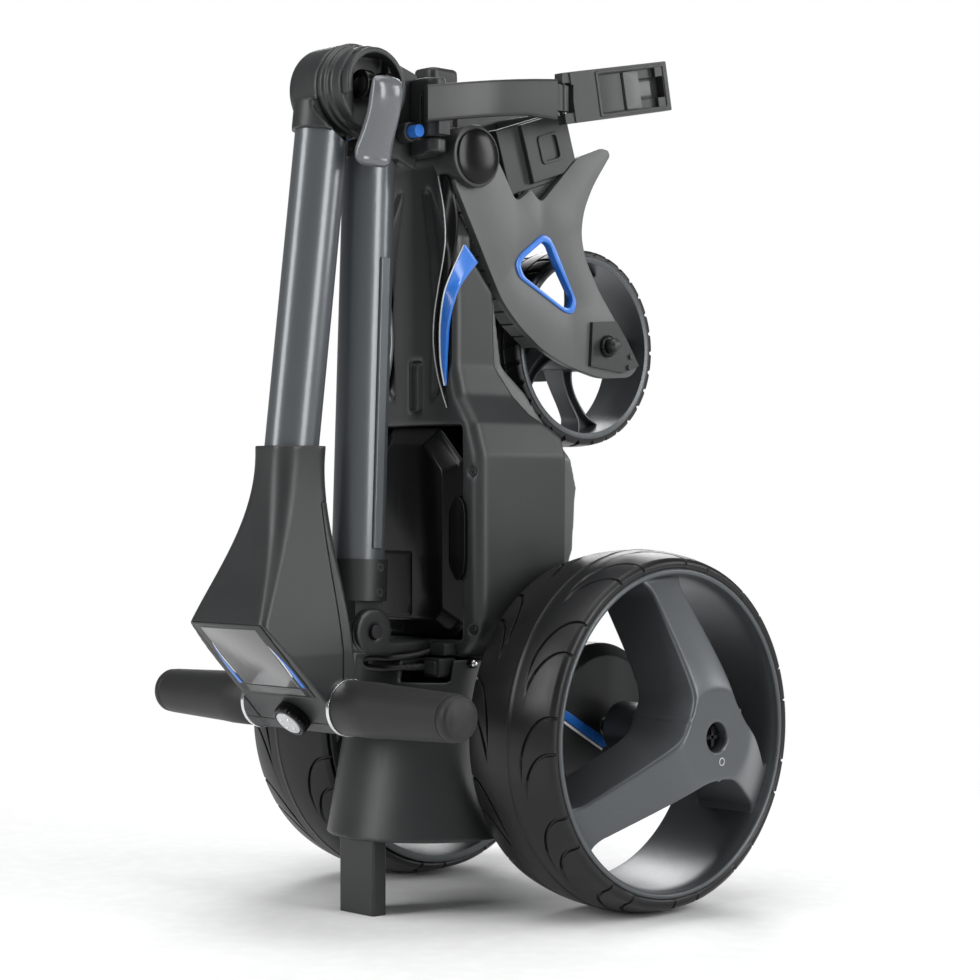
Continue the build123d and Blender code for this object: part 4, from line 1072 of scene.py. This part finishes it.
FACE = -105.3
SPINE = [(38, FACE, 367), (32.5, FACE, 379), (27, FACE, 394), (23.4, FACE, 413.7), (24.1, FACE, 433.5),
         (28.8, FACE, 455.8), (34.2, FACE, 476), (36.4, FACE, 493), (34.3, FACE, 513), (28.5, FACE, 537)]
BLUE_LEFT = [(36.2, FACE, 383), (32.4, FACE, 398), (31.2, FACE, 412), (31.6, FACE, 430), (36.0, FACE, 451),
             (42.4, -103.0, 467), (44.9, -94.0, 486)]
BLUE_RIGHT = [(37.0, FACE, 383), (36.4, FACE, 398), (37.2, FACE, 412), (39.4, FACE, 430),
              (43.9, -101.6, 451), (45.0, -93.0, 463), (45.1, -82.0, 474)]
GLOSS_RIGHT = [(38.6, FACE, 368), (36.2, FACE, 381), (31.4, FACE, 396), (29.4, FACE, 413), (30.0, FACE, 431),
               (34.6, FACE, 452), (41.4, -103.6, 474), (43.6, -101.4, 493), (43.0, -102.0, 513),
               (38.0, FACE, 536)]
INLAY_DOME = 0.35
CORNER_X = 34.0


def ribbon(left, right, thick, count=60, cols=5):
    """A thin inlay between two edge curves, with its outer face slightly domed."""
    rings = []
    for p, q in zip(spline(left, count), spline(right, count)):
        lean = max(0.0, (p.x + q.x) / 2 - CORNER_X) / 10
        away = Vector((INLAY_DOME * lean, -1, 0)).normalized()
        shares = [j / (cols - 1) for j in range(cols)]
        outer = [p * (1 - f) + q * f + away * (INLAY_DOME * math.sin(math.pi * f)) for f in shares]
        inner = [p * (1 - f) + q * f - away * thick for f in reversed(shares)]
        rings.append([at(*spot) for spot in outer + inner])
    return loft(rings)


def shifted(points, dx, dy=0.0):
    """The same run of points, moved across and along."""
    return [(x + dx, y + dy, z) for x, y, z in points]


strip_gloss = ribbon(shifted(SPINE, 0.6, -0.2), shifted(GLOSS_RIGHT, 0, -0.2), 2.5)
stripe_blue = ribbon(shifted(BLUE_LEFT, 0, -0.35), shifted(BLUE_RIGHT, 0, -0.35), 2.5)
stripe_white = ribbon(shifted(BLUE_LEFT, -1.5, -0.5), shifted(BLUE_LEFT, 0.1, -0.7), 2.5)
spine_bead = ribbon(shifted(SPINE, -0.5, -0.45), shifted(SPINE, 0.5, -0.45), 2.0)
pair("strip_gloss", strip_gloss, "gloss_black", "chassis", ["gloss_strips"], 60)
pair("stripe_blue", stripe_blue, "accent_blue", "chassis", ["accent_stripes"], 60)
pair("stripe_white", stripe_white, "accent_white", "chassis", (), 60)
pair("spine_bead", spine_bead, "silver_plastic", "chassis", (), 60)

# ---------------------------------------------------------------- battery lid

lid_low, lid_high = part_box("battery_lid")
lid_half, lid_bottom, lid_top = lid_high.x / MM, lid_low.z / MM, lid_high.z / MM
lid_front, lid_back = lid_low.y / MM - ROW_SHIFT, lid_high.y / MM - ROW_SHIFT
LID_CUT, LID_FOOT = 26.0, 10.0
GRIP_HOLLOW = [(lid_half - 9.5, 252), (lid_half - 1, 240), (lid_half + 6, 246), (lid_half + 7.5, 256),
               (lid_half + 7.5, 290), (lid_half + 6, 298), (lid_half - 1, 304), (lid_half - 9.5, 292)]
PANEL = rectangle(-34, 6, 214, 262)


def lid_edge(gap):
    """The lid's outline, pulled in by a gap."""
    x, low, high = lid_half - gap, lid_bottom + gap, lid_top - gap
    cut = LID_CUT - 0.4 * gap
    return [(-x, low + LID_FOOT), (-x + LID_FOOT, low), (x - LID_FOOT, low), (x, low + LID_FOOT),
            (x, high - cut), (x - cut, high), (-x + cut, high), (-x, high - cut)]


def lid_skin():
    """Stepped and chamfered shell of the battery's outer lid."""
    rings = []
    for gap, y in ((0, lid_back), (0, lid_back - 5.0), (0.8, lid_back - 6.0), (3.5, lid_back - 7.2),
                   (4.2, lid_back - 7.6), (11.5, lid_front + 1.6), (12.5, lid_front + 0.8),
                   (14.0, lid_front + 0.4)):
        rings.append([at(x, y, z) for x, z in rounded(lid_edge(gap), 3.0, 4)])
    return loft(rings)


finger_grip = plate([rounded(GRIP_HOLLOW, 6.0, 5)], lid_back - 4.0, lid_back - 12.2, 1.6, along_y, 3)
blank_panel = plate([rounded(PANEL, 3.0, 4)], lid_front + 1.0, lid_front - 0.3, 0.5, along_y)
add("battery_lid_shell", lid_skin(), "gloss_black", "chassis", ["battery_lid"], 30)
add("battery_finger_grip", finger_grip, "gloss_black", "chassis")
add("battery_blank_panel", blank_panel, "gloss_black", "chassis")

# ---------------------------------------------------------------- battery lead

LEAD_PATH = [(33, -112, 191), (27, -121, 187.8), (23.8, -134, 186.2), (17, -143.6, 185.2), (6, -145, 185.0),
             (-4, -145, 184.2), (-7.5, -145, 181.2), (-4, -145, 178.2), (6, -145, 177.6), (16, -143.6, 177.8),
             (23.6, -136, 178.2), (28, -127, 178.4), (32, -120, 178.5)]
RIB_PITCH = 1 / 90
RIB_HIGH, RIB_DEEP = 1.35, 1.05


def tube(points, radius, count, steps, ribs_from):
    """A round cable along a smooth path, ribbed from a share of its length on."""
    run = spline(points, count)
    rings = []
    normal = Vector((0, 0, 1))
    for i, spot in enumerate(run):
        way = (run[min(i + 1, count)] - run[max(i - 1, 0)]).normalized()
        side = way.cross(normal)
        side = side.normalized() if side.length > 0.05 else Vector((0, 1, 0))
        normal = side.cross(way).normalized()
        r = radius
        if i / count > ribs_from:
            odd = int((i / count - ribs_from) / RIB_PITCH) % 2
            r = radius * (RIB_DEEP if odd else RIB_HIGH)
        rings.append([at(*(spot + side * u + normal * v)) for u, v in circle(0, 0, r, steps)])
    return loft(rings)


plugs = [plate([rounded(rectangle(31, 48, 171.6, 185.2), 2.0)], -106, -121.8, 1.0, along_y),
         plate([rounded(rectangle(32.2, 47.8, 187, 195.8), 1.6)], -105.2, -116.8, 0.9, along_y),
         plate([rounded(rectangle(34, 45, 174, 183), 1.5)], -121.4, -124.0, 0.6, along_y)]
add("battery_cable", tube(LEAD_PATH, 2.0, 160, 16, 0.86), "grip_rubber", "chassis", (), 60)
add("battery_plugs", join(*plugs), "charcoal_plastic", "chassis", ["battery_lead"], 36)

# ---------------------------------------------------------------- status light and transaxle stripe

LIGHT_Y, LIGHT_Z = -101.0, 181.5
SLASH = [(-47, 148.5), (-48.5, 142), (-4, 116.5), (1, 117.5), (0, 122.5)]
SLASH_LINE = [(-48.9, 141.4), (-49.2, 139.2), (-6, 114.6), (-4.6, 115.8)]
drum_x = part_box("axle_housing")[1].x / MM
add("status_light_socket", rod(3.4, 57.0, 63.0, LIGHT_Y, LIGHT_Z, 0.6, 0.0, 32), "gloss_black", "chassis")
add("status_light", rod(2.9, 62.0, 64.2, LIGHT_Y, LIGHT_Z, 1.1, 1.6, 32), "bright_metal", "chassis", (), 60)
for name, outline, paint in (("drum_stripe_blue", rounded(SLASH, 1.6, 3), "accent_blue"),
                             ("drum_stripe_white", SLASH_LINE, "accent_white")):
    add(name, plate([outline], drum_x - 0.5, drum_x + 0.5, 0.2), paint, "chassis")

# ---------------------------------------------------------------- stage, lights and camera

FLOOR_SIZE = 30.0
WHITE = (1.0, 1.0, 1.0, 1.0)


def pale_floor():
    """A plain pale floor that melts into the white background away from the object."""
    half = FLOOR_SIZE / 2
    mesh = bpy.data.meshes.new("floor")
    mesh.from_pydata([(x, y, 0) for x, y in rectangle(-half, half, -half, half)], [], [(0, 1, 2, 3)])
    pale = finish("pale_floor", (0.90, 0.90, 0.90), 0.65, grain=60.0, bump=0.01, mottle=0.01, wear=0.0)
    mesh.materials.append(pale)
    tree = pale.node_tree
    place = tree.nodes.new("ShaderNodeTexCoord")
    radius = tree.nodes.new("ShaderNodeVectorMath")
    radius.operation = "LENGTH"
    tree.links.new(place.outputs["Object"], radius.inputs[0])
    glow = node(tree, "ShaderNodeEmission", Color=WHITE, Strength=1.0)
    fade = tree.nodes.new("ShaderNodeMixShader")
    tree.links.new(remap(tree, radius.outputs["Value"], 0.0, 1.0, 0.35, 0.95), fade.inputs[0])
    tree.links.new(tree.nodes["Principled BSDF"].outputs[0], fade.inputs[1])
    tree.links.new(glow.outputs[0], fade.inputs[2])
    tree.links.new(fade.outputs[0], tree.nodes["Material Output"].inputs["Surface"])
    made = bpy.data.objects.new("floor", mesh)
    bpy.context.scene.collection.objects.link(made)


def soft_light(name, place, target, power, wide, tall):
    """A rectangular studio light in metres and watts, turned towards its target."""
    lamp = bpy.data.lights.new(name, "AREA")
    lamp.energy = power
    lamp.shape = "RECTANGLE"
    lamp.size = wide
    lamp.size_y = tall
    made = bpy.data.objects.new(name, lamp)
    made.location = place
    made.rotation_euler = (target - place).to_track_quat("-Z", "Y").to_euler()
    bpy.context.scene.collection.objects.link(made)


def studio_world():
    """A white background for the camera and a dim, cool fill for everything else."""
    world = bpy.data.worlds.new("studio")
    bpy.context.scene.world = world
    world.use_nodes = True
    sky = world.node_tree
    paper = sky.nodes["Background"]
    paper.inputs["Color"].default_value = WHITE
    paper.inputs["Strength"].default_value = 1.0
    fill = node(sky, "ShaderNodeBackground", Color=(0.96, 0.98, 1.0, 1.0), Strength=0.18)
    pick = sky.nodes.new("ShaderNodeMixShader")
    rays = sky.nodes.new("ShaderNodeLightPath")
    sky.links.new(rays.outputs["Is Camera Ray"], pick.inputs[0])
    sky.links.new(fill.outputs[0], pick.inputs[1])
    sky.links.new(paper.outputs[0], pick.inputs[2])
    sky.links.new(pick.outputs[0], sky.nodes["World Output"].inputs["Surface"])
    bpy.context.scene.view_settings.view_transform = "Standard"


pale_floor()
studio_world()
middle = (cad_low + cad_high) / 2
near_wheel = middle + Vector((0.2, 0.0, -0.1))
soft_light("overhead", middle + Vector((0.2, -0.2, 2.2)), middle, 40, 2.4, 2.4)
soft_light("key_left", middle + Vector((-0.6, -2.2, 0.9)), middle, 34, 0.9, 1.8)
soft_light("key_right", middle + Vector((2.3, 0.5, 0.8)), middle, 35, 0.8, 1.8)
soft_light("spoke_glint", middle + Vector((1.4, 1.9, 0.75)), near_wheel, 11, 0.7, 0.9)
soft_light("rim_back", middle + Vector((-1.6, 1.7, 1.2)), middle, 26, 1.2, 1.2)

EYE = Vector((1.331, -1.1315, 0.305))
AIM = Vector((-0.012, 0.1385, 0.307))
FOCAL_LENGTH = 88.2
lens = bpy.data.cameras.new("camera")
lens.lens = FOCAL_LENGTH
camera = bpy.data.objects.new("camera", lens)
camera.location = EYE
camera.rotation_euler = (AIM - EYE).to_track_quat("-Z", "Y").to_euler()
bpy.context.scene.collection.objects.link(camera)
bpy.context.scene.camera = camera
